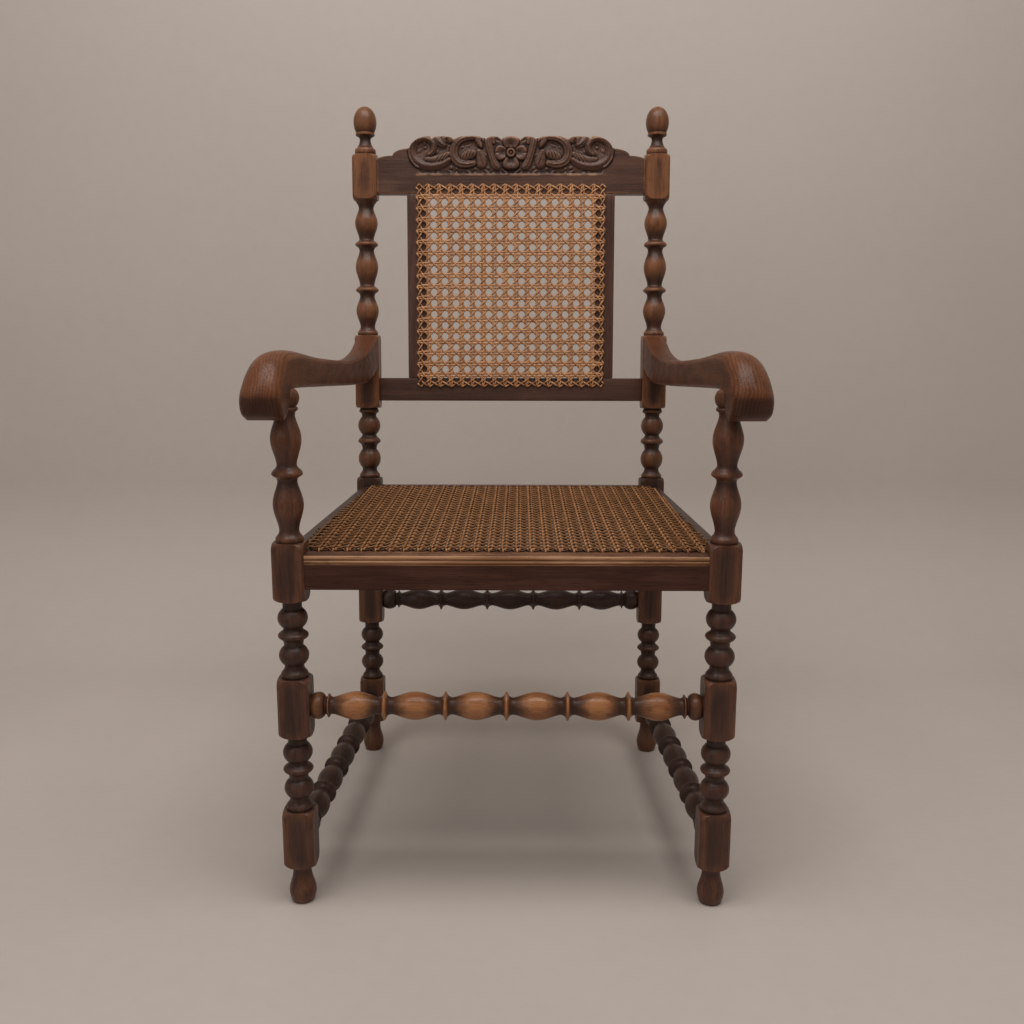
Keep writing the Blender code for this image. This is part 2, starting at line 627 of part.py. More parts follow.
def make_seat_cane():
    """Woven sheet over the seat opening, lapping on to all four rails and notched around the front legs."""
    (near_half, far_half), (near, far) = seat_opening()
    taper = (far_half - near_half) / (far - near)
    level = SEAT_TOP + FIT + CANE_THICKNESS / 2
    ends = (near - SEAT_FRONT_LAP, far + CANE_OVERLAP)
    half = [(near_half + taper * (y - near) + SEAT_SIDE_LAP, y) for y in ends]
    sheet = plate("seat_cane", half + [(-x, y) for x, y in reversed(half)], CANE_THICKNESS, PARTS)
    sheet.location.z = level
    space = STOCK + 8 * FIT
    for side in (-1, 1):
        centre = (side * FRONT_SPREAD / 2, FRONT_Y, level)
        notch = box("seat_cane_notch_" + corner(side), centre, (space, space, STOCK))
        boolean(sheet, notch, "DIFFERENCE")
    openings = open_weave(sheet, (near_half, near), (far_half, far), SEAT_CANE_CELLS)
    openings.location.z = level
    finish(sheet, CANE, 0.55)


def crest_outline():
    """Front outline of the crest rail: a straight foot, stepped ears and a row of carved lobes."""
    end = REAR_SPREAD / 2 - STOCK / 2 - FIT
    ear = CREST_BASE + CREST_END
    step = ear + CREST_STEP
    shoulder = step + CREST_SHOULDER
    valley = shoulder + CREST_VALLEY
    lobes = [share * end for share in CREST_LOBES]
    last = lobes.pop()
    corner_x = CREST_EAR * end
    half = []
    inner = -lobes[0]
    for outer in lobes:
        half += arc(((inner + outer) / 2, valley), ((outer - inner) / 2, CREST_LOBE), 180, 0, 4)[1:]
        inner = outer
    half = [point for point in half if point[0] >= 0.0]
    scroll = (last - inner, valley + 2 * CREST_LOBE - shoulder)
    half += arc((inner, shoulder - CREST_LOBE), scroll, 90, 20, 4)
    half += arc((last, step), (corner_x - last, CREST_SHOULDER), 75, 0, 4)
    half += arc((corner_x, ear), (end - corner_x, CREST_STEP), 80, 0, 3)
    half += [(end, CREST_BASE)]
    return half + [(-x, z) for x, z in reversed(half) if x > MERGE]


def raised_band(name, line, back):
    """A carved stroke along points (x, z, half-width), flat on top with sloping sides."""
    face = BACK_THICKNESS / 2 - CREST_THICKNESS
    depths = (CARVING_ROOT, -CARVING_RELIEF, -CARVING_RELIEF, CARVING_ROOT)
    bm = bmesh.new()
    rings = []
    for index, (x, z, half) in enumerate(line):
        before = line[max(index - 1, 0)]
        after = line[min(index + 1, len(line) - 1)]
        run = Vector((after[0] - before[0], after[1] - before[1])).normalized()
        ring = []
        for share, depth in zip((-1.0, -0.55, 0.55, 1.0), depths):
            across = share * half
            ring.append(bm.verts.new((x - run.y * across, face + depth, z + run.x * across)))
        rings.append(ring)
    for first, second in zip(rings, rings[1:]):
        for k in range(4):
            n = (k + 1) % 4
            bm.faces.new((first[k], first[n], second[n], second[k]))
    bm.faces.new(rings[0])
    bm.faces.new(rings[-1])
    bmesh.ops.recalc_face_normals(bm, faces=bm.faces)
    return mesh_object(name, bm, CUTTERS, back)


def raised_boss(name, x, z, radius, relief, back):
    """A round carved swelling on the front of the crest."""
    face = BACK_THICKNESS / 2 - CREST_THICKNESS
    rows = [(-relief, radius * 0.5), (-relief * 0.6, radius * 0.85), (CARVING_ROOT, radius)]
    boss = turned(name, rows, 8, CUTTERS, back)
    boss.rotation_euler = (-math.pi / 2, 0.0, 0.0)
    boss.location = (x, face, z)
    return boss


def carve(crest, back):
    """Scrolls, tongues and leaves in mirrored halves, with a four-petalled flower between them."""
    end = REAR_SPREAD / 2 - STOCK / 2 - FIT
    tall = CREST_END + CREST_STEP + CREST_SHOULDER + CREST_VALLEY + CREST_LOBE
    for side in (-1, 1):
        for name, line in CARVING.items():
            stroke = [(side * x * end, CREST_BASE + z * tall, half * tall) for x, z, half in line]
            boolean(crest, raised_band(name + "_" + corner(side), stroke, back), "UNION")
        x, z, radius = EYE
        place = (side * x * end, CREST_BASE + z * tall, radius * tall)
        boolean(crest, raised_boss("eye_" + corner(side), *place, CARVING_RELIEF * 1.3, back), "UNION")
    middle = CREST_BASE + FLOWER_LEVEL * tall
    for index in range(FLOWER_PETALS):
        angle = 2 * math.pi * index / FLOWER_PETALS
        x = FLOWER_REACH * tall * math.cos(angle)
        z = middle + FLOWER_REACH * tall * math.sin(angle)
        petal = raised_boss("petal_%d" % (index + 1), x, z, FLOWER_PETAL * tall, CARVING_RELIEF, back)
        boolean(crest, petal, "UNION")
    eye = raised_boss("flower_eye", 0.0, middle, FLOWER_EYE * tall, CARVING_RELIEF * 1.4, back)
    boolean(crest, eye, "UNION")


def make_back(posts, back):
    """Crest, lower rail and two stiles between the rear posts, and the cane over their opening."""
    inner = REAR_SPREAD / 2 - STOCK / 2
    reach = TENON_ROOT + TENON_DEPTH
    shift = (TENON_DEPTH - TENON_ROOT) / 2
    crest = plate("crest_rail", crest_outline(), CREST_THICKNESS, PARTS, back)
    crest.rotation_euler = (math.pi / 2, 0.0, 0.0)
    crest.location.y = (BACK_THICKNESS - CREST_THICKNESS) / 2
    face = BACK_THICKNESS / 2 - CREST_THICKNESS
    level = CREST_BASE + CREST_BEAD_LIFT
    rebate_size = (2 * REAR_SPREAD, CREST_THICKNESS, 2 * CREST_BEAD_LIFT)
    rebate_y = -BACK_THICKNESS / 2 - CREST_THICKNESS / 2
    rebate = box("crest_rebate", (0.0, rebate_y, CREST_BASE), rebate_size, None, back)
    boolean(crest, rebate, "DIFFERENCE")
    bead_size = (BACK_OPENING, CREST_THICKNESS / 2 + CREST_BEAD_PROUD, CREST_BEAD)
    bead_y = face + (CREST_THICKNESS / 2 - CREST_BEAD_PROUD) / 2
    bead = box("crest_bead", (0.0, bead_y, level), bead_size, None, back)
    boolean(crest, bead, "UNION")
    carve(crest, back)

    lower = LOWER_RAIL_BASE + LOWER_RAIL_HEIGHT / 2
    rail_size = (2 * (inner - FIT), BACK_THICKNESS, LOWER_RAIL_HEIGHT)
    rail = box("back_rail_lower", (0.0, 0.0, lower), rail_size, PARTS, back)
    for side in (-1, 1):
        x = side * (inner + shift)
        height = CREST_END - 2 * TENON_SHOULDER
        centre = (x, 0.0, CREST_BASE + CREST_END / 2)
        size = (reach, TENON_WIDTH, height)
        joint(crest, posts["rear", side], "crest_" + corner(side), centre, size, back)
        size = (reach, TENON_WIDTH, LOWER_RAIL_HEIGHT - 2 * TENON_SHOULDER)
        joint(rail, posts["rear", side], "back_rail_" + corner(side), (x, 0.0, lower), size, back)

    foot = LOWER_RAIL_BASE + LOWER_RAIL_HEIGHT
    stile_length = CREST_BASE - foot
    for side in (-1, 1):
        name = "back_stile_" + corner(side)
        x = side * (BACK_OPENING + STILE_WIDTH) / 2
        size = (STILE_WIDTH, BACK_THICKNESS, stile_length - 2 * FIT)
        stile = box(name, (x, 0.0, foot + stile_length / 2), size, PARTS, back)
        tongue = (STILE_WIDTH - 2 * TENON_SHOULDER, TENON_WIDTH, reach)
        joint(stile, rail, name + "_foot", (x, 0.0, foot - shift), tongue, back)
        joint(stile, crest, name + "_head", (x, 0.0, CREST_BASE + shift), tongue, back)
        finish(stile, OAK, 0.42)
    finish(crest, OAK, 0.40)
    finish(rail, OAK, 0.42)

    lap = 2 * CANE_OVERLAP * 1.6
    cane_size = (BACK_OPENING + lap, CANE_THICKNESS, stile_length + lap)
    y = -BACK_THICKNESS / 2 - FIT - CANE_THICKNESS / 2
    sheet = box("back_cane", (0.0, y, foot + stile_length / 2), cane_size, PARTS, back)
    near, far = [(BACK_OPENING / 2, height) for height in (foot, CREST_BASE)]
    openings = open_weave(sheet, near, far, BACK_CANE_CELLS, back)
    openings.rotation_euler = (math.pi / 2, 0.0, 0.0)
    openings.location.y = y
    finish(sheet, CANE, 0.55)


def arm_stations(side):
    """Sections of an arm, from post to scroll: top and underside (y, z), centre x, width and rounding."""
    reach = post_y(ARM_REST) - STOCK / 2 - FRONT_Y
    leg = FRONT_SPREAD / 2
    post = REAR_SPREAD / 2
    nose = ARM_REACH
    drop = ARM_DROP
    tall = ARM_HEIGHT
    end = reach + STOCK / 4
    # top, underside, share of the way out, share of the front width, share of the front rounding
    shape = (
        ((end, tall), (end, -0.02 * tall), 0.00, 0.0, 0.00),
        ((reach * 0.90, 0.55 * tall), (reach * 0.90, -0.40 * tall), 0.10, 0.0, 0.02),
        ((reach * 0.74, 0.33 * tall), (reach * 0.74, -0.41 * tall), 0.32, 0.0, 0.06),
        ((reach * 0.38, 0.54 * tall), (reach * 0.38, -0.21 * tall), 0.68, 0.5, 0.30),
        ((0.24 * nose, 0.87 * tall), (0.30 * nose, -0.02 * tall), 0.92, 1.0, 0.95),
        ((-0.54 * nose, 0.75 * tall), (-0.10 * nose, -0.12 * drop), 0.97, 1.0, 1.00),
        ((-nose, 0.08 * tall), (-0.20 * nose, -0.45 * drop), 1.00, 1.0, 0.60),
        ((-0.90 * nose, -0.66 * drop), (-0.32 * nose, -0.80 * drop), 1.00, 1.0, 0.15),
        ((-0.64 * nose, -drop), (-0.50 * nose, -drop - FIT), 1.00, 1.0, -0.20),
    )
    stations = []
    for top, under, out, broad, rounded in shape:
        x = post + (leg + ARM_FLARE - post) * out + ARM_BOW * math.sin(math.pi * out)
        width = ARM_REAR_WIDTH + (ARM_FRONT_WIDTH - ARM_REAR_WIDTH) * broad
        rounding = ARM_REAR_ROUND + (ARM_FRONT_ROUND - ARM_REAR_ROUND) * rounded
        stations.append((*top, *under, side * x, width, rounding))
    return stations


def through(stations, steps):
    """Stations with smooth intermediate ones, by Catmull-Rom splines."""
    smooth = []
    last = len(stations) - 1
    for index in range(last):
        ring_of = [stations[min(max(index + offset, 0), last)] for offset in (-1, 0, 1, 2)]
        for step in range(steps):
            t = step / steps
            weights = (
                (-t + 2 * t * t - t ** 3) / 2, (2 - 5 * t * t + 3 * t ** 3) / 2,
                (t + 4 * t * t - 3 * t ** 3) / 2, (t ** 3 - t * t) / 2,
            )
            columns = zip(*ring_of)
            smooth.append([sum(w * value for w, value in zip(weights, column)) for column in columns])
    return smooth + [list(stations[-1])]


def arm_section(width, height, rounding):
    """Section of an arm, inner side at 0: nearly square inside and below, well rounded outside on top."""
    small = min(ARM_EDGE_ROUND, height / 5)
    across = min(rounding, width - 2 * small)
    up = min(rounding, height - 2 * small)
    rows = arc((small, small), small, 180, 270, 1)
    rows += arc((width - small, small), small, 270, 360, 1)
    rows += arc((width - across, height - up), (across, up), 0, 90, 4)
    rows += arc((small, height - small), small, 90, 180, 1)
    return rows


def make_arm(side, posts):
    """Loft through the stations, cut to the post's face and seated on the leg."""
    bm = bmesh.new()
    rings = []
    for top_y, top_z, under_y, under_z, x, width, rounding in through(arm_stations(side), ARM_STEPS):
        under = Vector((0.0, FRONT_Y + under_y, ARM_REST + under_z))
        rise = Vector((0.0, FRONT_Y + top_y, ARM_REST + top_z)) - under
        points = []
        for across, up in arm_section(width, rise.length, rounding):
            place = under + rise * (up / rise.length)
            place.x = x + side * (across - width / 2)
            points.append(bm.verts.new(place))
        rings.append(points)
    count = len(rings[0])
    for first, second in zip(rings, rings[1:]):
        for index in range(count):
            after = (index + 1) % count
            bm.faces.new((first[index], first[after], second[after], second[index]))
    bm.faces.new(rings[0])
    bm.faces.new(rings[-1])
    bmesh.ops.recalc_face_normals(bm, faces=bm.faces)
    arm = mesh_object("arm_" + corner(side), bm, PARTS)
    boolean(arm, TRIM["rear"], "DIFFERENCE")

    pin = ARM_TENON + FIT
    depth = ARM_TENON_HEIGHT + FIT
    hollow = [(-STOCK, SUPPORT_BALL + FIT), (FIT, SUPPORT_BALL + FIT), (FIT, pin), (depth, pin)]
    seat = turned("arm_seat_" + corner(side), hollow, TURNED_SIDES, CUTTERS)
    seat.location = (side * FRONT_SPREAD / 2, FRONT_Y, ARM_REST)
    boolean(arm, seat, "DIFFERENCE")
    finish(arm, WORN_OAK, 0.35)

    level = ARM_REST + DOWEL_HEIGHT * ARM_HEIGHT
    spot = (side * REAR_SPREAD / 2, post_y(level) - STOCK / 2 / math.cos(RAKE), level)
    peg = [(-DOWEL_LENGTH / 2, DOWEL), (DOWEL_LENGTH / 2, DOWEL)]
    hole = [(-DOWEL_LENGTH / 2 - FIT, DOWEL + FIT), (DOWEL_LENGTH / 2 + FIT, DOWEL + FIT)]
    dowel = turned("arm_dowel_" + corner(side), peg, TURNED_SIDES, PARTS)
    drill = turned("arm_dowel_bore_" + corner(side), hole, TURNED_SIDES, CUTTERS)
    for obj in (dowel, drill):
        obj.location = spot
        obj.rotation_euler = (-math.pi / 2 - RAKE, 0.0, 0.0)
    boolean(arm, drill, "DIFFERENCE")
    boolean(posts["rear", side], drill, "DIFFERENCE")
    finish(dowel, WORN_OAK, 0.6)


BACK = bpy.data.objects.new("back_lean", None)
PARTS.objects.link(BACK)
BACK.location = (0.0, FRONT_Y + FLOOR_DEPTH, 0.0)
BACK.rotation_euler = (-RAKE, 0.0, 0.0)

TRIM = make_trims(BACK)
POSTS = make_posts(BACK)
make_stretchers(POSTS, BACK)
make_seat_rails(POSTS)
make_seat_cane()
make_back(POSTS, BACK)
for arm_side in (-1, 1):
    make_arm(arm_side, POSTS)
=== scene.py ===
import math

import bmesh
import bpy
import numpy as np
from mathutils import Matrix, Vector


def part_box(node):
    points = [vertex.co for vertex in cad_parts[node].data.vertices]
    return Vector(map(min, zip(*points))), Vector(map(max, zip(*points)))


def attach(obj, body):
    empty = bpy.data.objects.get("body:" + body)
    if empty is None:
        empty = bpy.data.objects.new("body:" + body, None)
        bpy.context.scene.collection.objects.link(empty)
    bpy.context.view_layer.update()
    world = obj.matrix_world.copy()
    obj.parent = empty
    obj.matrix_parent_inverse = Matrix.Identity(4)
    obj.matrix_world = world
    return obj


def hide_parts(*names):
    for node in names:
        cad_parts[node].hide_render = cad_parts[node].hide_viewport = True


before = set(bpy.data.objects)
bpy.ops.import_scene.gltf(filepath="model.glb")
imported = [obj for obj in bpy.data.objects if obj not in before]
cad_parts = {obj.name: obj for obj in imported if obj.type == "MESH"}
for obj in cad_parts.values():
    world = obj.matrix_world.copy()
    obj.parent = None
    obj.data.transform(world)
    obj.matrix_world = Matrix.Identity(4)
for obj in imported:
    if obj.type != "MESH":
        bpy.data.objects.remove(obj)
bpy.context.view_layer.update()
print("frame loaded")

chair = {
    "floorDepth": 0.472, "rake": math.radians(3.92), "stock": 0.0385, "arris": 0.003,
    "chairHeight": 1.0564, "armRest": 0.647, "seatTop": 0.4525, "fit": 0.0002,
}
legLow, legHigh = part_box("front_leg_right")
postLow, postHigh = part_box("rear_post_right")
frontX, frontY = (legLow.x + legHigh.x) / 2, (legLow.y + legHigh.y) / 2
rearX = (postLow.x + postHigh.x) / 2
halfStock = chair["stock"] / 2
sides = (("Left", -1), ("Right", 1))
lean = Matrix.Translation((0, frontY + chair["floorDepth"], 0)) @ Matrix.Rotation(-chair["rake"], 4, "X")


def postY(z):
    return frontY + chair["floorDepth"] + z * math.tan(chair["rake"])


def sideRun(side, level, frontGap=0.0, rearGap=0.0):  # from the back of a front leg to the front of its rear post
    front, rear = Vector((side * frontX, frontY, level)), Vector((side * rearX, postY(level), level))
    run = rear - front
    start = front + run * ((halfStock + frontGap) / run.y)
    return start, rear - run * ((halfStock + rearGap) / run.y), run


def clamp(value):
    return min(max(value, 0.0), 1.0)


class Flow:
    def __init__(self, tree, socket=None):
        self.tree = tree
        self.socket = socket

    def make(self, kind, values=None, out=0, **settings):
        node = self.tree.nodes.new(kind)
        for key, value in settings.items():
            setattr(node, key, value)
        for key, value in (values or {}).items():
            if isinstance(value, Flow):
                self.tree.links.new(value.socket, node.inputs[key])
            else:
                node.inputs[key].default_value = value
        return Flow(self.tree, node.outputs[out])

    def maths(self, operation, first, second):
        return self.make("ShaderNodeMath", {0: first, 1: second}, operation=operation)

    def __add__(self, other):
        return self.maths("ADD", self, other)

    def __radd__(self, other):
        return self.maths("ADD", other, self)

    def __sub__(self, other):
        return self.maths("SUBTRACT", self, other)

    def __rsub__(self, other):
        return self.maths("SUBTRACT", other, self)

    def __mul__(self, other):
        return self.maths("MULTIPLY", self, other)

    def __rmul__(self, other):
        return self.maths("MULTIPLY", other, self)

    def attribute(self, name, out):
        return self.make("ShaderNodeAttribute", None, out, attribute_name=name)

    def stretch(self, factors):
        return self.make("ShaderNodeVectorMath", {0: self, 1: factors}, operation="MULTIPLY")

    def noise(self, scale, detail=3.0, roughness=0.55, distortion=0.0):
        values = {"Vector": self, "Scale": scale, "Detail": detail, "Roughness": roughness, "Distortion": distortion}
        return self.make("ShaderNodeTexNoise", values, noise_dimensions="3D")

    def ramp(self, low, high, to=(0.0, 1.0)):
        values = {"Value": self, "From Min": low, "From Max": high, "To Min": to[0], "To Max": to[1]}
        return self.make("ShaderNodeMapRange", values, interpolation_type="SMOOTHSTEP")

    def mix(self, first, second):
        colours = [(*c, 1.0) if isinstance(c, tuple) else c for c in (first, second)]
        return self.make("ShaderNodeMix", {0: self, 6: colours[0], 7: colours[1]}, 2, data_type="RGBA")

    def into(self, node, key):
        self.tree.links.new(self.socket, node.inputs[key])


def newMaterial(name):
    material = bpy.data.materials.new(name)
    material.use_nodes = True
    shader = material.node_tree.nodes["Principled BSDF"]
    return material, Flow(material.node_tree), shader


def oak(name, look):
    material, flow, shader = newMaterial(name)
    grain = flow.attribute("grain", "Vector")
    wearAndHighlight = flow.attribute("wearAndHighlight", "Fac")
    soilAndShade = flow.attribute("soilAndShade", "Fac")
    streak = grain.stretch((520.0, 520.0, 11.0)).noise(1.0, 4.0, 0.6)  # long fibres
    pores = grain.stretch((900.0, 900.0, 38.0)).noise(1.0, 2.0, 0.5).ramp(0.56, 0.70)  # short dark pores
    speckle = grain.noise(760.0, 2.0, 0.6)
    wander = grain.stretch((26.0, 26.0, 3.0)).noise(1.0, 2.0)
    rings = flow.make("ShaderNodeSeparateXYZ", {0: grain.stretch((look["rings"], 110.0, 2.5))}, 0) + wander * 26.0
    bands = flow.make("ShaderNodeMath", {0: rings}, operation="SINE").ramp(-0.9, 0.9)  # growth rings
    blotch = grain.stretch((1.0, 1.0, 0.6)).noise(17.0, 3.0, 0.6)
    rub = grain.stretch((1.0, 1.0, 0.5)).noise(55.0, 4.0, 0.7)
    figure = streak * 0.40 + bands * look["bands"] + blotch * 0.42 + speckle * 0.24
    body = figure.ramp(*look["contrast"]).mix(look["dark"], look["mid"])
    bare = (wearAndHighlight * look["wearAndHighlight"] * rub.ramp(0.25, 0.62, (0.55, 1.15)) + (blotch - 0.5) * 0.25).ramp(0.05, 0.95)
    worn = bare.mix(body, (streak * 0.75 + bands * 0.25).ramp(0.25, 0.75).mix(look["worn"], look["bright"]))
    filled = (pores * 0.42).mix(worn, look["pore"])
    # the grime colour darkens hollows and shaded places: grime with painted shade
    grimeAndShade = (soilAndShade * look["soilAndShade"] * rub.ramp(0.15, 0.6, (0.7, 1.1))).ramp(0.02, 0.9)
    grimeAndShade.mix(filled, look["grimeAndShade"]).into(shader, "Base Color")
    finish = (rub - 0.5) * 0.30 + (speckle - 0.5) * 0.16 + (streak - 0.5) * 0.20 + pores * 0.10
    (look["rough"] + finish + grimeAndShade * 0.18 - bare * 0.08).into(shader, "Roughness")
    relief = streak * 0.5 + speckle * 0.4 - pores * 0.8 + rub * 0.25
    bump = flow.make("ShaderNodeBump", {"Strength": look["bump"], "Distance": 0.0004, "Height": relief})
    bump.into(shader, "Normal")
    (bare * look["polish"] + look["coat"]).into(shader, "Coat Weight")
    shader.inputs["Coat Roughness"].default_value = 0.28
    shader.inputs["Specular IOR Level"].default_value = look["shine"]
    return material


def rattan(name, look):
    material, flow, shader = newMaterial(name)
    along = flow.attribute("grain", "Vector")
    soilAndShade = flow.attribute("soilAndShade", "Fac")
    fibre = along.stretch((2600.0, 2600.0, 22.0)).noise(1.0, 3.0, 0.6)
    patch = along.noise(24.0, 3.0, 0.65)
    knots = along.noise(190.0, 2.0, 0.5).ramp(0.60, 0.74)
    tone = (fibre * 0.45 + patch * 0.75).ramp(0.38, 0.82).mix(look["dark"], look["light"])
    stained = (knots * 0.45).mix(tone, look["stain"])
    # painted shade: the near-black grime colour darkens the strands' undersides, sides and dips
    grimeAndShade = (soilAndShade * look["soilAndShade"] * patch.ramp(0.25, 0.65, (0.6, 1.15))).ramp(0.0, 1.0)
    grimeAndShade.mix(stained, look["grimeAndShade"]).into(shader, "Base Color")
    (look["rough"] + (patch - 0.5) * 0.25 + grimeAndShade * 0.15).into(shader, "Roughness")
    bump = flow.make("ShaderNodeBump", {"Strength": 0.35, "Distance": 0.0002, "Height": fibre + knots * 0.3})
    bump.into(shader, "Normal")
    shader.inputs["Specular IOR Level"].default_value = look["shine"]
    return material


darkOak = {
    "dark": (0.0300, 0.0138, 0.0098), "mid": (0.086, 0.0370, 0.0240), "worn": (0.145, 0.051, 0.0255),
    "bright": (0.220, 0.083, 0.037), "pore": (0.0105, 0.0055, 0.0042), "grimeAndShade": (0.0100, 0.0060, 0.0050),
    "wearAndHighlight": 0.55, "soilAndShade": 0.42, "rough": 0.40, "bump": 0.50, "coat": 0.12, "polish": 0.05, "shine": 0.26,
    "rings": 260.0, "bands": 0.12, "contrast": (0.30, 0.88),
}
oakLooks = {  # name of the material, and what differs from dark oak
    "posts": ("darkOak", {}),
    # the rear and side stretchers get a darker copy of the oak: painted shade
    "stretchers": ("shadedLowerOak", dict(dark=(0.0245, 0.0120, 0.0089), mid=(0.073, 0.0332, 0.0221), wearAndHighlight=0.2)),
    "backPosts": ("backOak", dict(
        dark=(0.028, 0.0118, 0.0072), mid=(0.098, 0.0390, 0.0210), worn=(0.165, 0.063, 0.0270),
        bright=(0.230, 0.092, 0.039), wearAndHighlight=0.85, soilAndShade=0.80)),
    "arms": ("armOak", dict(
        dark=(0.047, 0.0156, 0.0074), mid=(0.140, 0.0474, 0.0200), worn=(0.165, 0.057, 0.0235),
        bright=(0.230, 0.088, 0.0375), wearAndHighlight=0.5, soilAndShade=0.85, coat=0.05, shine=0.20, bump=0.7,
        rings=1700.0, bands=0.17, contrast=(0.32, 0.86))),
    "rails": ("railOak", dict(
        dark=(0.046, 0.0212, 0.0143), mid=(0.116, 0.0530, 0.0342), worn=(0.150, 0.067, 0.037), soilAndShade=0.6)),
    "sideRails": ("sideRailOak", dict(
        dark=(0.026, 0.0126, 0.0086), mid=(0.067, 0.0318, 0.0210), worn=(0.110, 0.049, 0.028), soilAndShade=0.6, coat=0.05)),
    # the front rail's worn and bright colours also paint the highlight on the nosing
    "frontRail": ("frontRailOak", dict(
        dark=(0.045, 0.0212, 0.0158), mid=(0.112, 0.0500, 0.0352), worn=(0.245, 0.110, 0.050),
        bright=(0.450, 0.240, 0.128), wearAndHighlight=1.3, soilAndShade=0.35, coat=0.0, polish=0.35, shine=0.02)),
    # the crest's strong soil darkens its grooves with painted shade, and its bright colour paints the highlight along
    # the ledge
    "crest": ("crestOak", dict(
        dark=(0.047, 0.0218, 0.0145), mid=(0.140, 0.0650, 0.0420), worn=(0.195, 0.085, 0.045),
        bright=(0.330, 0.168, 0.095), wearAndHighlight=0.62, soilAndShade=1.15)),
    "frontStretcher": ("stretcherOak", dict(
        dark=(0.040, 0.0150, 0.0078), mid=(0.105, 0.0390, 0.0175), worn=(0.250, 0.094, 0.034),
        bright=(0.400, 0.170, 0.066), wearAndHighlight=1.15, soilAndShade=0.80)),
}
caneLooks = {
    "backCane": {
        "dark": (0.290, 0.112, 0.041), "light": (0.680, 0.345, 0.155), "stain": (0.190, 0.064, 0.022),
        "grimeAndShade": (0.110, 0.037, 0.014), "soilAndShade": 0.80, "rough": 0.42, "shine": 0.40},
    "seatCane": {
        "dark": (0.240, 0.100, 0.040), "light": (0.560, 0.280, 0.130), "stain": (0.110, 0.042, 0.017),
        "grimeAndShade": (0.020, 0.0085, 0.0042), "soilAndShade": 1.15, "rough": 0.55, "shine": 0.06},
}
looks = {key: oak(name, {**darkOak, **changes}) for key, (name, changes) in oakLooks.items()}
looks.update((name, rattan(name, look)) for name, look in caneLooks.items())
print("materials made")


def weatherAndShade(bm, reach, depth):
    bm.verts.ensure_lookup_table()
    bm.verts.index_update()
    places = np.array([v.co for v in bm.verts])
    links = np.array([[e.verts[0].index, e.verts[1].index] for e in bm.edges])
    bm.normal_update()
    normals = np.array([v.normal for v in bm.verts])
    count = np.bincount(links.ravel(), minlength=len(places))[:, None]
    smooth = places.copy()
    for turn in range(reach):
        total = np.zeros_like(smooth)
        for axis in range(3):
            total[:, axis] = (np.bincount(links[:, 0], smooth[links[:, 1], axis], len(places))
                              + np.bincount(links[:, 1], smooth[links[:, 0], axis], len(places)))
        smooth = smooth * 0.4 + total / np.maximum(count, 1) * 0.6
    proud = ((places - smooth) * normals).sum(1) / depth  # how far each point stands out of its surroundings
    # what stands out gets wear; the hollows get grime together with painted shade
    for name, values in (("wearAndHighlight", proud), ("soilAndShade", -proud)):
        layer = bm.verts.layers.float.new(name)
        for vert, value in zip(bm.verts, np.clip(values, 0.0, 1.0)):
            vert[layer] = float(value)


def layersOf(bm, *kinds):
    return [bm.verts.layers.float[kind] for kind in kinds]


def setGrain(bm, place):
    layer = bm.verts.layers.float_vector.new("grain")
    for vert in bm.verts:
        vert[layer] = place(vert.co)


def outward(bm):
    bmesh.ops.recalc_face_normals(bm, faces=bm.faces)


def vertsIn(geom):
    return [item for item in geom if isinstance(item, bmesh.types.BMVert)]


def bridge(bm, rings):
    for first, second in zip(rings, rings[1:]):
        for k in range(len(first)):
            n = (k + 1) % len(first)
            bm.faces.new((first[k], first[n], second[n], second[k]))


def addObject(name, data):
    thing = bpy.data.objects.new(name, data)
    bpy.context.scene.collection.objects.link(thing)
    return thing


def finishPiece(name, bm, nodes, look, matrix=None, sharp=32.0, recalc=True):
    if recalc:
        outward(bm)
    if matrix is not None:
        bm.transform(matrix)
    limit = math.radians(sharp)
    for face in bm.faces:
        face.smooth = True
    for edge in bm.edges:
        edge.smooth = len(edge.link_faces) == 2 and edge.calc_face_angle(0.0) < limit
    mesh = bpy.data.meshes.new(name)
    bm.to_mesh(mesh)
    bm.free()
    mesh.materials.append(looks[look])
    piece = addObject(name, mesh)
    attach(piece, "root")
    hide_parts(*nodes)
    return piece


def lathe(rows, columns):
    bm = bmesh.new()
    points = [(rows[0][0], 0.0), *rows, (rows[-1][0], 0.0)]
    chain = [bm.verts.new((radius, 0.0, height)) for height, radius in points]
    edges = [bm.edges.new(pair) for pair in zip(chain, chain[1:])]
    bmesh.ops.spin(bm, geom=chain + edges, cent=(0, 0, 0), axis=(0, 0, 1), dvec=(0, 0, 0),
                   angle=2 * math.pi, steps=columns, use_merge=True, use_duplicate=False)
    bmesh.ops.remove_doubles(bm, verts=bm.verts, dist=1e-6)
    return bm


def curve(base, length, shape, count, skip=0):
    steps = range(skip, count + 1)
    return [(base + length * s / count, shape(s / count)) for s in steps]


def smoothLine(points, steps):
    knots = np.array(points)
    fine = []
    for index in range(len(knots) - 1):
        p = [knots[min(max(index + k, 0), len(knots) - 1)] for k in (-1, 0, 1, 2)]
        for s in np.arange(steps) / steps:
            fine.append(0.5 * (2 * p[1] + (p[2] - p[0]) * s + (2 * p[0] - 5 * p[1] + 4 * p[2] - p[3]) * s ** 2
                               + (3 * p[1] - p[0] - 3 * p[2] + p[3]) * s ** 3))
    return fine + [knots[-1]]


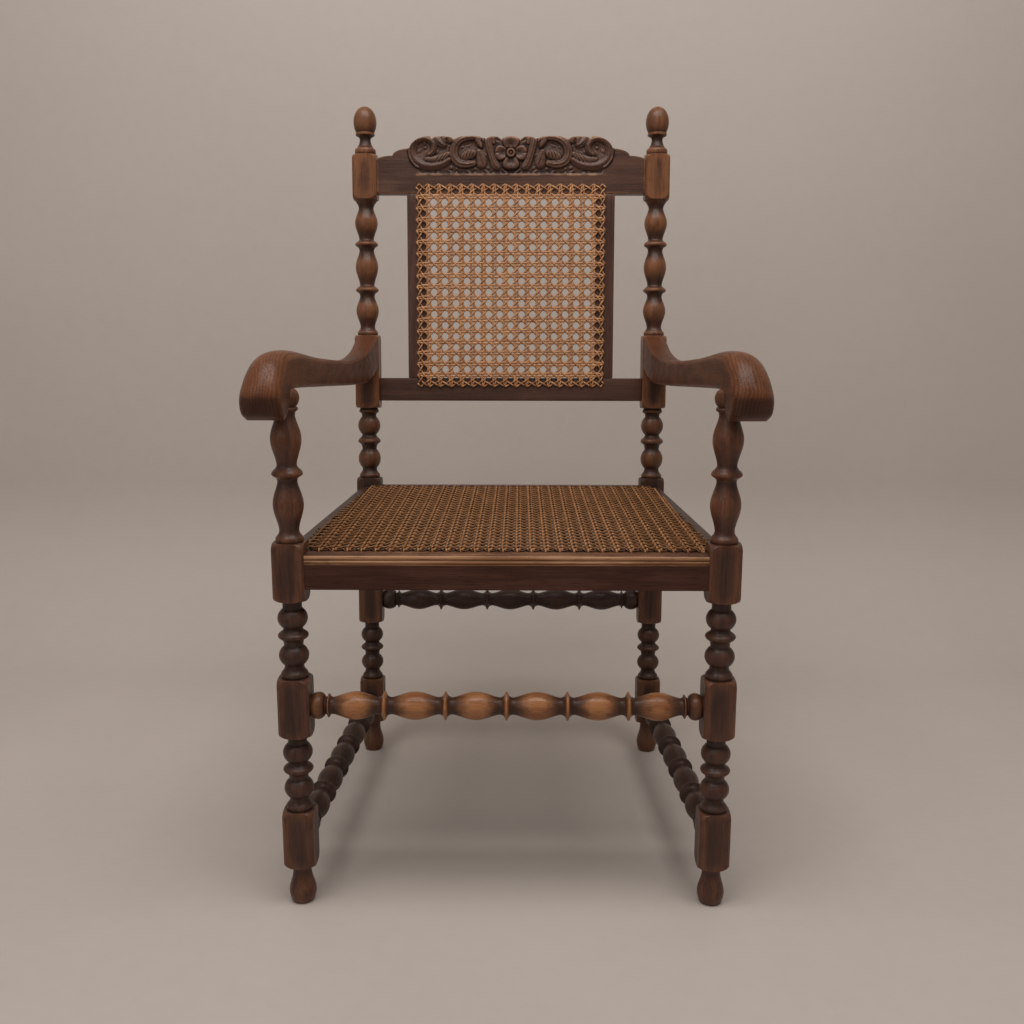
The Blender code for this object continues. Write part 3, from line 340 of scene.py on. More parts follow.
turning = {
    "belly": 0.0182, "neck": 0.0117, "collar": 0.0184, "legCollar": 0.0200, "supportCollar": 0.0192,
    "bobbinCollar": 0.0215, "backCollar": 0.0183, "ring": 0.0166, "ringZone": 0.0140,
    "cap": 0.0180, "bobbinCap": 0.0160, "capZone": 0.0130, "blank": 0.03, "shoulderSteps": 9, "shoulderInset": 0.0007,
    "supportRing": 0.0155, "supportCap": 0.0102, "headNeck": 0.0094, "ballHeight": 0.0210, "ball": 0.0174,
    "shoulderRise": 0.0118, "shoulderDrop": 0.0132, "blockReach": 0.0262, "columns": 64,
    "foot": 0.0505, "stretcherBlock": 0.075, "legBobbin": 0.097, "seatBlock": 0.0715, "armSupport": 0.181,
    "backBobbin": 0.1148, "armBlock": 0.1176, "topBlock": 0.0702, "finial": 0.0755,
}
outlines = {  # share of the length from below, share of the way from the neck to the rim
    "legCollar": [(0, 0), (0.20, 0.08), (0.33, 0.30), (0.44, 0.78), (0.53, 0.97), (0.62, 1.0), (0.72, 0.82),
                  (0.81, 0.46), (0.90, 0.16), (1, 0)],
    "supportCollar": [(0, 0), (0.12, 0.06), (0.22, 0.25), (0.31, 0.66), (0.40, 0.94), (0.48, 1.0), (0.57, 0.90),
                      (0.67, 0.70), (0.80, 0.30), (0.90, 0.10), (1, 0)],
    "backCollar": [(0, 0), (0.18, 0.10), (0.30, 0.28), (0.39, 0.64), (0.47, 0.94), (0.56, 1.0), (0.65, 0.93),
                   (0.75, 0.65), (0.85, 0.28), (0.93, 0.08), (1, 0)],
    "ring": [(0, 0.86), (0.10, 0.95), (0.22, 1.0), (0.35, 0.95), (0.46, 0.76), (0.57, 0.50), (0.70, 0.24),
             (0.85, 0.07), (1, 0)],
    "cap": [(0, 0), (0.25, 0.10), (0.45, 0.28), (0.62, 0.50), (0.78, 0.74), (0.90, 0.90), (0.97, 0.97), (1, 0.98)],
    "bobbinCap": [(0, 0), (0.18, 0.05), (0.30, 0.25), (0.38, 0.62), (0.47, 0.92), (0.58, 1.0), (0.70, 0.96),
                  (0.80, 0.80), (0.90, 0.66), (1, 0.62)],
    "supportCap": [(0, 0), (0.25, 0.04), (0.45, 0.24), (0.57, 0.66), (0.68, 0.93), (0.78, 1.0), (0.88, 0.95),
                   (0.96, 0.76), (1, 0.6)],
    "disc": [(0, 0), (0.16, 0.10), (0.28, 0.28), (0.37, 0.62), (0.43, 0.94), (0.50, 1.0), (0.57, 0.94), (0.63, 0.62),
             (0.72, 0.28), (0.84, 0.10), (1, 0)],
}
armBlockBase = (turning["foot"] + 2 * (turning["stretcherBlock"] + turning["legBobbin"]) + turning["seatBlock"]
                + turning["backBobbin"])
topBlockBase = chair["chairHeight"] / math.cos(chair["rake"]) - turning["finial"] - turning["topBlock"]


def rounded(power):
    return lambda s: math.sin(math.pi * s) ** power


def bobbin(s):
    return rounded(0.68)(clamp((s - 0.07) / 0.86))


def baluster(s):
    return (0.5 - 0.5 * math.cos(2 * math.pi * s ** 1.08)) ** 0.76


def swelling(base, length, belly, neck, shape):
    return curve(base, length, lambda s: neck + (belly - neck) * shape(s), 24)


def member(kind, base, length, radius, neck, first=1):
    line = smoothLine(outlines[kind], 3)[first:-1]
    return [(base + length * share, neck + (radius - neck) * level) for share, level in line]


def squareBlock(base, length):
    rise, drop, blank, steps = (turning[key] for key in ("shoulderRise", "shoulderDrop", "blank", "shoulderSteps"))
    top = base + length
    rows = [(base + rise * step / steps, blank) for step in range(steps)]
    low, high = base + rise * 1.05, top - drop * 1.05
    count = max(2, round((high - low) / 0.005))
    rows += [(low + (high - low) * step / count, blank) for step in range(count + 1)]
    return rows + [(top - drop * (steps - step) / steps, blank) for step in range(1, steps + 1)]


def members(base, length, rims, kind, zone, shape):
    neck, rows, start = turning["neck"], [], base
    for share in rims:
        stop = base + length * share - zone / 2
        rows += swelling(start, stop - start, turning["belly"], neck, shape)
        rows += member(kind, stop, zone, turning["collar"], neck)
        start = stop + zone
    return rows + swelling(start, base + length - start, turning["belly"], neck, shape)


def ringOn(height):  # the ring on top of a block
    return member("ring", height, turning["ringZone"], turning["ring"], turning["neck"], 0)


def footRows(sole):
    foot = turning["foot"]
    rows = [(sole, 0.0120), (sole + 0.0011, 0.0136)]
    rows += curve(0.0035, 0.0111, lambda s: 0.0148 + 0.0021 * math.sin(s * math.pi / 2), 5)
    rows += curve(0.0146, 0.0270, lambda s: 0.0169 - 0.0054 * (0.5 - 0.5 * math.cos(math.pi * s)) ** 0.9, 10, 1)
    return rows + [(0.0455, 0.0116), (foot - 0.0012, 0.0130)]


def legRows(sole):
    t = turning
    rows, blocks = footRows(sole), []
    height = t["foot"]
    for story in range(2):
        blocks.append((height, height + t["stretcherBlock"]))
        rows += squareBlock(height, t["stretcherBlock"])
        height += t["stretcherBlock"]
        rows += ringOn(height)
        run = t["legBobbin"] - t["ringZone"] - t["headNeck"]
        rows += members(height + t["ringZone"], run, (0.50,), "legCollar", t["legCollar"], bobbin)
        height += t["legBobbin"]
        head = [(0.75, 0.99), (0.45, 1.0), (0.25, 1.06), (0.13, 1.17)]  # a small flare under the next block
        rows += [(height - t["headNeck"] * below, t["neck"] * share) for below, share in head]
    blocks.append((height, height + t["seatBlock"]))
    return rows + squareBlock(height, t["seatBlock"]), blocks


def frontLegRows():
    t = turning
    rows, blocks = legRows(0.0)
    base = blocks[-1][1]
    run = t["armSupport"] - t["ringZone"] - t["supportCap"] - t["ballHeight"]
    rows += ringOn(base)
    rows += members(base + t["ringZone"], run, (0.503,), "supportCollar", t["supportCollar"], baluster)
    rows += member("supportCap", base + t["ringZone"] + run, t["supportCap"], t["supportRing"], t["neck"])
    ball = swelling(chair["armRest"] - t["ballHeight"], t["ballHeight"], t["ball"], t["neck"], rounded(0.6))
    return rows + ball[1:] + [(chair["armRest"] + 0.004, t["neck"])], blocks


def rearPostRows():
    t = turning
    rows, blocks = legRows(-0.0018)
    height = blocks[-1][1]
    tall = topBlockBase - armBlockBase - t["armBlock"]
    spans = ((t["backBobbin"], (0.512,), t["bobbinCollar"], bobbin, "bobbinCap", t["armBlock"]),
             (tall, (0.306, 0.692), t["backCollar"], baluster, "cap", t["topBlock"]))
    for length, rims, zone, shape, cap, blockLength in spans:
        run = length - t["ringZone"] - t["capZone"]
        rows += ringOn(height)
        rows += members(height + t["ringZone"], run, rims, "backCollar", zone, shape)
        rows += member(cap, height + t["ringZone"] + run, t["capZone"], t[cap], t["neck"])
        height += length
        blocks.append((height, height + blockLength))
        rows += squareBlock(height, blockLength)
        height += blockLength
    return rows + finialRows(height, t["finial"]), blocks


def finialRows(base, size):
    shape = [(0.008, 0.0160), (0.030, 0.0167), (0.070, 0.0169), (0.105, 0.0166), (0.125, 0.0156), (0.136, 0.0142),
             (0.160, 0.0126), (0.190, 0.0112), (0.225, 0.0100), (0.262, 0.0091), (0.300, 0.0086), (0.335, 0.0088),
             (0.362, 0.0098), (0.384, 0.0118), (0.396, 0.0140), (0.404, 0.0150), (0.425, 0.0153), (0.446, 0.0151),
             (0.456, 0.0142), (0.466, 0.0143)]
    rows = [(base + size * share, radius) for share, radius in shape]

    def nut(s):
        if s < 0.36:
            return 0.0183 - 0.0034 * (1 - s / 0.36) ** 2
        return 0.0183 * math.sqrt(max(1 - ((s - 0.36) / 0.64) ** 2.1, 0.0))

    egg = curve(base + size * 0.478, size * 0.522, nut, 30)
    return rows + egg[:-1] + [(base + size * 0.9992, 0.0014)]


def squareReach(angle):
    half, cut = halfStock, chair["arris"]
    across, up = abs(math.cos(angle)), abs(math.sin(angle))
    return min(half / max(across, 1e-9), half / max(up, 1e-9), (2 * half - cut) / (across + up))


def squareOff(bm, blocks):
    columns, steps = turning["columns"], turning["shoulderSteps"]
    edgeAngle = math.atan2(halfStock - chair["arris"], halfStock)
    start, wide = halfStock - turning["shoulderInset"], turning["blockReach"]
    nearEdge = round(edgeAngle / (2 * math.pi / columns)) * 2 * math.pi / columns
    for vert in bm.verts:
        radius = math.hypot(vert.co.x, vert.co.y)
        inside = [b for b in blocks if b[0] - 1e-7 <= vert.co.z <= b[1] + 1e-7]
        if not inside or radius < turning["blank"] - 0.001:
            continue
        base, top = inside[0]
        angle = math.atan2(vert.co.y, vert.co.x)
        quarter = math.floor(angle / (math.pi / 2)) * math.pi / 2
        share = angle - quarter
        if abs(share - nearEdge) < 1e-4:  # columns beside an arris move on to it
            share = edgeAngle
        elif abs(share - (math.pi / 2 - nearEdge)) < 1e-4:
            share = math.pi / 2 - edgeAngle
        angle = quarter + share
        reach = squareReach(angle)
        meet = math.asin((reach - start) / (wide - start)) / (math.pi / 2)
        height = vert.co.z
        for end, size, way in ((base, turning["shoulderRise"], 1), (top, turning["shoulderDrop"], -1)):
            t = (vert.co.z - end) * way / size
            if -1e-4 <= t <= 0.9:
                bent = max(t, 0.0) * steps / (steps - 1) * meet * math.pi / 2
                reach = start + (wide - start) * math.sin(bent)
                height = end + way * size * (1 - math.cos(bent))
        vert.co = (reach * math.cos(angle), reach * math.sin(angle), height)


def levelSole(bm, matrix):
    inverse = matrix.inverted()
    for vert in bm.verts:
        place = matrix @ vert.co
        if place.z < 0.0:
            place.z = 0.0
            vert.co = inverse @ place


postAge = {  # wear, and grime with painted shade, by place
    "foot": 0.9, "edges": 0.7, "block": 0.16, "topBlock": 0.55, "leg": 0.45, "support": 0.45, "supportBulge": 0.60,
    "hollows": 0.53, "besideSeat": 0.72, "belowArms": 0.42,
}


def bulgeAt(co, sizes):  # 0 at the neck of a turning, 1 at its belly
    return clamp((math.hypot(co.x, co.y) - sizes["neck"]) / (sizes["belly"] - sizes["neck"]))


def agePost(bm, blocks, rear):
    weatherAndShade(bm, reach=26, depth=0.0011)
    wearAndHighlight, soilAndShade = layersOf(bm, "wearAndHighlight", "soilAndShade")
    seatLow, seatHigh = blocks[2]
    for vert in bm.verts:
        z = vert.co.z
        if z < turning["foot"]:
            vert[wearAndHighlight] = postAge["foot"]
        elif any(low < z < high for low, high in blocks):  # the square parts are rubbed along their edges
            vert[wearAndHighlight] = vert[wearAndHighlight] * postAge["edges"] + postAge["topBlock" if z > topBlockBase else "block"]
        elif z < chair["seatTop"]:  # the legs are worn least
            vert[wearAndHighlight] *= postAge["leg"]
        elif not rear:  # hands have rubbed the supports of the arms
            rubbed = postAge["support"] + postAge["supportBulge"] * bulgeAt(vert.co, turning)
            vert[wearAndHighlight] = max(vert[wearAndHighlight], rubbed)
        if rear:  # the rear posts are darker below the arms, most beside the seat
            low = postAge["belowArms"] if z < armBlockBase else 0.0
            dull = postAge["besideSeat"] if seatLow < z < seatHigh else low
            vert[soilAndShade] = max(vert[soilAndShade] * postAge["hollows"], dull)


def makePost(name, rows, blocks, nodes, look, matrix, level):
    bm = lathe(rows, turning["columns"])
    squareOff(bm, blocks)
    if level:
        levelSole(bm, matrix)
    outward(bm)
    agePost(bm, blocks, level)
    shift = Vector((0.05 * matrix.translation.x, 0.31 * matrix.translation.y, matrix.translation.x))
    setGrain(bm, lambda co: co + shift)
    return finishPiece(name, bm, nodes, look, matrix)


for sideName, side in sides:
    cadSide = sideName.lower()
    rows, blocks = frontLegRows()
    place = Matrix.Translation((side * frontX, frontY, 0))
    makePost("frontLeg" + sideName, rows, blocks, ["front_leg_" + cadSide], "posts", place, False)
    rows, blocks = rearPostRows()
    place = lean @ Matrix.Translation((side * rearX, 0, 0))
    makePost("rearPost" + sideName, rows, blocks, ["rear_post_" + cadSide], "backPosts", place, True)
print("posts turned")

stretcher = {
    "belly": 0.0172, "neck": 0.0104, "collar": 0.0176, "zone": 0.0160, "ring": 0.0147, "ball": 0.0167, "heel": 0.0125,
    "endZone": 0.0090, "endShare": 0.92, "columns": 48, "intoPost": 0.002, "upper": 0.26, "lower": 0.088,
    "frontCells": (6, 0.0215), "cells": (5, 0.027), "dullEnd": 0.35, "hollow": 0.36,
}


def vase(s):
    return (0.5 - 0.5 * math.cos(2 * math.pi * s)) ** 0.72


def stretcherRows(span, cells, end):
    s = stretcher
    half = span / 2
    pitch = (span - 2 * end) / (cells - 2 * (1 - s["endShare"]))
    marks = [end - half, end - half + pitch * s["endShare"]]
    marks += [marks[1] + pitch * (index + 1) for index in range(cells - 2)] + [half - end]
    rows = [(-half - s["intoPost"], s["heel"])]
    rows += swelling(-half, end - s["endZone"] / 2, s["ball"], s["neck"], rounded(0.5))[1:]
    for index, mark in enumerate(marks):
        ends = index in (0, cells)
        zone = s["endZone"] if ends else s["zone"]
        rows += member("disc", mark - zone / 2, zone, s["ring"] if ends else s["collar"], s["neck"])
        if index < cells:
            stop = marks[index + 1] - (s["endZone"] if index + 1 == cells else s["zone"]) / 2
            rows += swelling(mark + zone / 2, stop - mark - zone / 2, s["belly"], s["neck"], vase)
    rows += swelling(half - end + s["endZone"] / 2, end - s["endZone"] / 2, s["ball"], s["neck"], rounded(0.5))[:-1]
    return rows + [(half + s["intoPost"], s["heel"])]


def makeStretcher(name, node, start, stop, cells, end, slot, look):
    axis = stop - start
    bm = lathe(stretcherRows(axis.length, cells, end), stretcher["columns"])
    outward(bm)
    weatherAndShade(bm, reach=26, depth=0.0012)
    wearAndHighlight, soilAndShade = layersOf(bm, "wearAndHighlight", "soilAndShade")
    for vert in bm.verts:  # feet have rubbed the bulges, and the hollows are darkened with grime and painted shade
        bulge = bulgeAt(vert.co, stretcher)
        inner = 1.0 if abs(vert.co.z) < axis.length / 2 - end else stretcher["dullEnd"]
        vert[wearAndHighlight] = max(vert[wearAndHighlight] * 0.6, bulge ** 1.5) * inner
        vert[soilAndShade] = max(vert[soilAndShade] * 0.6, stretcher["hollow"] * (1 - bulge))
    setGrain(bm, lambda co: co + Vector((start.z, start.y, start.x)))
    place = Matrix.Translation((start + stop) / 2) @ axis.to_track_quat("Z", "Y").to_matrix().to_4x4()
    return finishPiece(name, bm, [node], look, place)


half, level = frontX - halfStock, stretcher["upper"]
makeStretcher("stretcherFront", "stretcher_front", Vector((-half, frontY, level)), Vector((half, frontY, level)),
              *stretcher["frontCells"], "oak_front_stretcher", "frontStretcher")
half = rearX - halfStock
makeStretcher("stretcherRear", "stretcher_rear", lean @ Vector((-half, 0, level)), lean @ Vector((half, 0, level)),
              *stretcher["cells"], "oak_posts", "stretchers")
for sideName, side in sides:
    start, stop = sideRun(side, stretcher["lower"])[:2]
    makeStretcher("stretcherSide" + sideName, "stretcher_side_" + sideName.lower(), start, stop,
                  *stretcher["cells"], "oak_posts", "stretchers")
print("stretchers turned")


def cutAcross(bm, low, high, gaps):
    for axis in range(3):
        normal = Vector([1.0 if k == axis else 0.0 for k in range(3)])
        count = max(1, round((high[axis] - low[axis]) / gaps[axis]))
        for step in range(1, count):
            spot = Vector([0.0, 0.0, 0.0])
            spot[axis] = low[axis] + (high[axis] - low[axis]) * step / count
            geom = list(bm.verts) + list(bm.edges) + list(bm.faces)
            bmesh.ops.bisect_plane(bm, geom=geom, dist=1e-6, plane_co=spot, plane_no=normal)


def board(size, edge, gaps):
    bm = bmesh.new()
    bmesh.ops.create_cube(bm, size=1.0, matrix=Matrix.Diagonal((*size, 1.0)))
    bmesh.ops.bevel(bm, geom=list(bm.edges), offset=edge, segments=2, profile=0.5, affect="EDGES", material=-1)
    half = [s / 2 for s in size]
    cutAcross(bm, [-h for h in half], half, gaps)
    return bm


def makeBoard(name, node, size, edge, matrix, along, look="rails", gap=0.006):
    gaps = [gap, gap, gap]
    gaps[along] = gap * 2.5
    bm = board(size, edge, gaps)
    weatherAndShade(bm, reach=3, depth=0.0022)
    shift = matrix.translation * 1.7
    order = [k for k in range(3) if k != along] + [along]
    setGrain(bm, lambda co: Vector([co[k] for k in order]) + shift)
    return finishPiece(name, bm, [node], look, matrix)


seat = {
    "railHeight": 0.042, "railWidth": 0.036, "frontSetback": 0.0025, "rearSetback": 0.014, "sideWidth": 0.0285,
    "sideSetback": 0.0095, "sideGap": 0.0022, "edge": 0.0016, "nosing": 0.0054, "nosingRound": 0.0036, "bead": 0.0032,
    "quirk": 0.0011, "wornTop": 0.30, "noseWearAndHighlight": 1.15, "beadWearAndHighlight": 1.0, "caneEdge": -0.0023, "caneLift": 0.0022,
    "caneFront": 0.0040, "caneRear": 0.0010, "caneRows": 25,
}
railLevel = chair["seatTop"] - seat["railHeight"] / 2


def makeFrontRail():
    top, width = seat["railHeight"] / 2, seat["railWidth"]
    nose, quirk, bead = seat["nosingRound"], seat["quirk"], seat["bead"]
    rim = top - seat["nosing"]
    points = [(width, -top), (width, top)]
    points += [(nose - nose * math.sin(a), top - nose + nose * math.cos(a)) for a in np.linspace(0, math.pi / 2, 9)]
    points += [(quirk * 1.5, rim - 0.0002), (quirk * 1.5, rim - quirk)]
    middle = rim - quirk - bead / 2
    points += [(quirk * 0.5 - quirk * math.sin(a), middle + bead / 2 * math.cos(a)) for a in np.linspace(0, math.pi, 9)]
    points += [(quirk * 1.1, middle - bead / 2 - 0.0004), (0.0, middle - bead / 2 - 0.0012), (0.0, -top + 0.001),
               (0.001, -top)]
    length = 2 * (frontX - halfStock) - chair["fit"]
    bm = bmesh.new()
    section = bm.faces.new([bm.verts.new((-length / 2, y, z)) for y, z in points])
    grown = bmesh.ops.extrude_face_region(bm, geom=[section])["geom"]
    bmesh.ops.translate(bm, verts=vertsIn(grown), vec=(length, 0, 0))
    cutAcross(bm, (-length / 2, 0, -top), (length / 2, width, top), (0.016, 0.006, 0.006))
    weatherAndShade(bm, reach=3, depth=0.0013)
    wearAndHighlight, = layersOf(bm, "wearAndHighlight")
    for vert in bm.verts:  # the nosing is rubbed bare and its nose and bead carry a painted highlight, most in the middle of the seat
        worn = 0.0
        if vert.co.z > top - 0.25 * nose:
            worn = seat["wornTop"] if vert.co.y < 8 * nose else 0.0
        elif vert.co.z > middle - bead and vert.co.y < 3 * nose:
            worn = seat["noseWearAndHighlight" if vert.co.z > rim - 0.0002 else "beadWearAndHighlight"]
        vert[wearAndHighlight] = worn * (1.0 - 0.5 * abs(vert.co.x / length * 2) ** 3)
    setGrain(bm, lambda co: Vector((co.y, co.z, co.x + 0.4)))
    place = Matrix.Translation((0, frontY - halfStock + seat["frontSetback"], railLevel))
    finishPiece("seatRailFront", bm, ["seat_rail_front"], "frontRail", place, 40.0)


makeFrontRail()
heel = postY(railLevel) + halfStock - seat["rearSetback"]
makeBoard("seatRailRear", "seat_rail_rear", (2 * (rearX - halfStock) - chair["fit"], seat["railWidth"],
          seat["railHeight"]), seat["edge"], Matrix.Translation((0, heel - seat["railWidth"] / 2, railLevel)), 0)
for sideName, side in sides:
    start, stop, run = sideRun(side, railLevel, chair["fit"], seat["sideGap"])
    shift = Vector((side * (halfStock - seat["sideSetback"] - seat["sideWidth"] / 2), 0, 0))
    turn = Matrix.Rotation(math.atan2(-run.x, run.y), 4, "Z")
    makeBoard("seatRail" + sideName, "seat_rail_" + sideName.lower(),
              (seat["sideWidth"], (stop - start).length, seat["railHeight"]), seat["edge"] * 1.6,
              Matrix.Translation((start + stop) / 2 + shift) @ turn, 1, "sideRails")
print("seat frame made")

back = {"thickness": 0.020, "lowerLift": 0.0117, "lowerHeight": 0.037, "crestLift": 0.0094, "stileWidth": 0.031,
        "stileGap": 0.04775, "edge": 0.0013, "caneProud": 0.0024}
lowerRailBase = armBlockBase + back["lowerLift"]
lowerRailTop = lowerRailBase + back["lowerHeight"]
crestBase = topBlockBase + back["crestLift"]
backHalf = rearX - halfStock
opening = 2 * (backHalf - back["stileGap"] - back["stileWidth"])
makeBoard("backRailLower", "back_rail_lower", (2 * backHalf - chair["fit"], back["thickness"], back["lowerHeight"]),
          back["edge"], lean @ Matrix.Translation((0, 0, lowerRailBase + back["lowerHeight"] / 2)), 0)
for sideName, side in sides:
    middle = Vector((side * (opening + back["stileWidth"]) / 2, 0, (lowerRailTop + crestBase) / 2))
    makeBoard("backStile" + sideName, "back_stile_" + sideName.lower(),
              (back["stileWidth"], back["thickness"], crestBase - lowerRailTop - chair["fit"]), back["edge"],
              lean @ Matrix.Translation(middle), 2)
print("back frame made")

crest = {
    "end": 0.051, "step": 0.0075, "shoulder": 0.011, "valley": 0.0125, "lobe": 0.0065, "ear": 0.882,
    "lobes": (0.072, 0.182, 0.429, 0.597, 0.754), "columns": 500, "rows": 90, "ledge": 0.0297, "sunk": 0.0034,
    "ledgeSlope": 0.0035, "groundHalf": 0.150, "groundSlope": 0.006, "scroll": (0.1355, 0.063), "scrollReach": 0.0270,
    "scrollSlope": 0.004, "skirt": 0.34, "skirtReach": 2.0, "flowerSkirt": 0.0028, "flowerReach": 0.031,
    # the last three set the painted highlight along the edge under the carving
    "leaves": 0.0024, "chisel": 0.00025, "backDarkening": 0.40, "glintHalf": 0.152, "glintWide": 0.0020, "rub": 2.2,
}


def crestTop(x, end):
    ear = crestBase + crest["end"]
    step = ear + crest["step"]
    shoulder = step + crest["shoulder"]
    valley = shoulder + crest["valley"]
    edges = [-crest["lobes"][0] * end] + [share * end for share in crest["lobes"]]
    x = np.abs(x)
    corner = crest["ear"] * end

    def arch(centre, width, base, rise):
        return base + rise * np.sqrt(np.clip(1 - ((x - centre) / width) ** 2, 0, None))

    height = np.where(x < end, arch(corner, end - corner + 0.001, ear, crest["step"]), ear)
    height = np.where(x < corner, arch(edges[-1], corner - edges[-1], step, crest["shoulder"]), height)
    rise = valley + 2 * crest["lobe"] - shoulder
    scroll = arch(edges[-2], edges[-1] - edges[-2] + 0.0015, shoulder - crest["lobe"], rise)
    height = np.where(x < edges[-1], np.maximum(scroll, shoulder), height)
    for inner, outer in zip(edges[:-2], edges[1:-1]):
        lobe = arch((inner + outer) / 2, (outer - inner) / 2 * 1.04, valley, crest["lobe"])
        height = np.where((x >= inner) & (x < outer), lobe, height)
    return height


def strokeShare(x, z, points):
    line = smoothLine(np.array(points) / 1000.0, 6)
    best = np.full_like(x, 9.0)
    size = np.zeros_like(x)
    for a, b in zip(line, line[1:]):
        reach = max(a[2], b[2]) * crest["skirtReach"]
        near = np.flatnonzero((x > min(a[0], b[0]) - reach) & (x < max(a[0], b[0]) + reach)
                              & (z > min(a[1], b[1]) - reach) & (z < max(a[1], b[1]) + reach))
        dx, dz = b[0] - a[0], b[1] - a[1]
        along = np.clip(((x[near] - a[0]) * dx + (z[near] - a[1]) * dz) / max(dx * dx + dz * dz, 1e-12), 0, 1)
        radius = a[2] + (b[2] - a[2]) * along
        share = np.hypot(x[near] - a[0] - along * dx, z[near] - a[1] - along * dz) / radius
        closer = share < best[near]
        best[near] = np.where(closer, share, best[near])
        size[near] = np.where(closer, radius, size[near])
    return best, size


carving = {  # x, z above the foot of the crest and half-width, in mm, on the right half; height; ridges across
    "innerLeaf": ([(135, 53, 4.5), (122, 52.5, 6.8), (109, 56, 6.8), (100, 61, 4.8)], 5.4, 0.0),
    "husk": ([(121, 87, 5.4), (117, 82, 6.8), (110, 77, 6.2), (106, 75, 3.6)], 5.2, 1.0),
    "huskSide": ([(107, 86, 4.4), (107, 79, 4.2)], 4.4, 0.0),
    "nut": ([(97, 87, 6.2), (96, 82, 5.4)], 4.8, 0.0),
    "bud": ([(74, 57, 7.4), (66, 61, 8.8), (60, 62.5, 6.6)], 6.0, 0.0),
    "lobe": ([(51, 65, 5.0), (48, 57, 8.2), (46.6, 49, 9.4), (47, 46, 8.4)], 5.4, 0.0),
    "outerScroll": ([(131, 60, 4.6), (124.5, 66, 5.6), (123.5, 76, 5.8), (131, 84, 5.2), (142, 85.5, 5.8),
                     (152.5, 80, 6.6), (157.5, 69, 7.0), (155.5, 57, 7.4), (148, 48, 8.0), (137, 43.5, 8.0),
                     (123, 43, 7.6), (109, 46.5, 7.4), (99, 52.5, 5.0)], 6.6, 0.8),
    "innerScroll": ([(50, 84.5, 4.0), (60, 87, 4.6), (72, 86, 5.2), (82, 82, 6.2), (89, 74, 7.0), (91.5, 63, 7.4),
                     (88.5, 53, 7.4), (81, 47, 7.0), (70, 45.5, 6.6), (60, 47, 5.0)], 6.6, 1.3),
    "hook": ([(53.5, 82.5, 4.8), (50, 77.5, 4.8), (47.5, 72.5, 2.4)], 6.4, 0.0),
    "topLeaf": ([(29, 86, 4.4), (27.5, 79, 3.4)], 4.0, 0.0),
    "strap": ([(37, 85, 6.0), (35, 75, 6.2), (32, 63, 5.8), (28.5, 53, 6.2), (25, 45, 7.0),
               (22, 41.5, 5.6)], 6.0, 1.2),
}
grooves = (  # x, z and half-width in mm: lines cut into the carving
    [(121, 49, 0.8), (113, 60, 1.0)], [(115, 49, 0.8), (107, 61, 1.0)], [(110, 50, 0.8), (102, 62, 0.9)],
    [(72, 67, 0.8), (77, 54, 1.0)], [(67, 69, 0.9), (72, 54, 1.1)], [(62, 69, 0.8), (67, 55, 1.1)],
    [(58, 67, 0.7), (62, 56, 0.9)], [(122, 88, 0.8), (112, 75, 0.9)], [(51, 62, 0.7), (44, 44, 0.9)],
    [(147, 78, 0.9), (146, 70, 1.0)],
)
flower = {"level": 0.0630, "reach": 0.0152, "long": 0.0110, "wide": (0.0118, 0.0134), "tall": 0.0064, "eye": 0.0078,
          "hollow": 0.0046, "cleft": 0.0012, "moat": 0.0018}


def flowerHeight(x, z):
    best = np.zeros_like(x)
    for index in range(4):
        angle = math.pi / 2 * index
        dx, dz = x - flower["reach"] * math.cos(angle), z - flower["level"] - flower["reach"] * math.sin(angle)
        along = dx * math.cos(angle) + dz * math.sin(angle)
        across = dz * math.cos(angle) - dx * math.sin(angle)
        broad = flower["wide"][index % 2] * (1 + 0.22 * along / flower["long"])
        share = np.clip((along / flower["long"]) ** 2 + (np.abs(across) / broad) ** 2.4, 0, 1)
        petal = flower["tall"] * (1 - share ** 3.6) ** 0.5
        petal -= flower["hollow"] * np.exp(-((along + 0.0030) / 0.0066) ** 2 - (across / 0.0062) ** 2)
        petal -= flower["cleft"] * np.exp(-(across / 0.0012) ** 2) * np.clip(along / 0.006, 0, 1)  # cleft at its end
        best = np.maximum(best, np.where(share < 1, petal, 0))
    gap = np.hypot(x, z - flower["level"])
    eye = flower["eye"]
    disc = np.where(gap < eye, 0.0058 + 0.0011 * np.cos(np.clip(gap / eye, 0, 1) * 3.0 * math.pi), 0)
    moat = np.exp(-((gap - eye - 0.0008) / 0.0010) ** 2) * flower["moat"]
    return np.maximum(best - moat, disc)


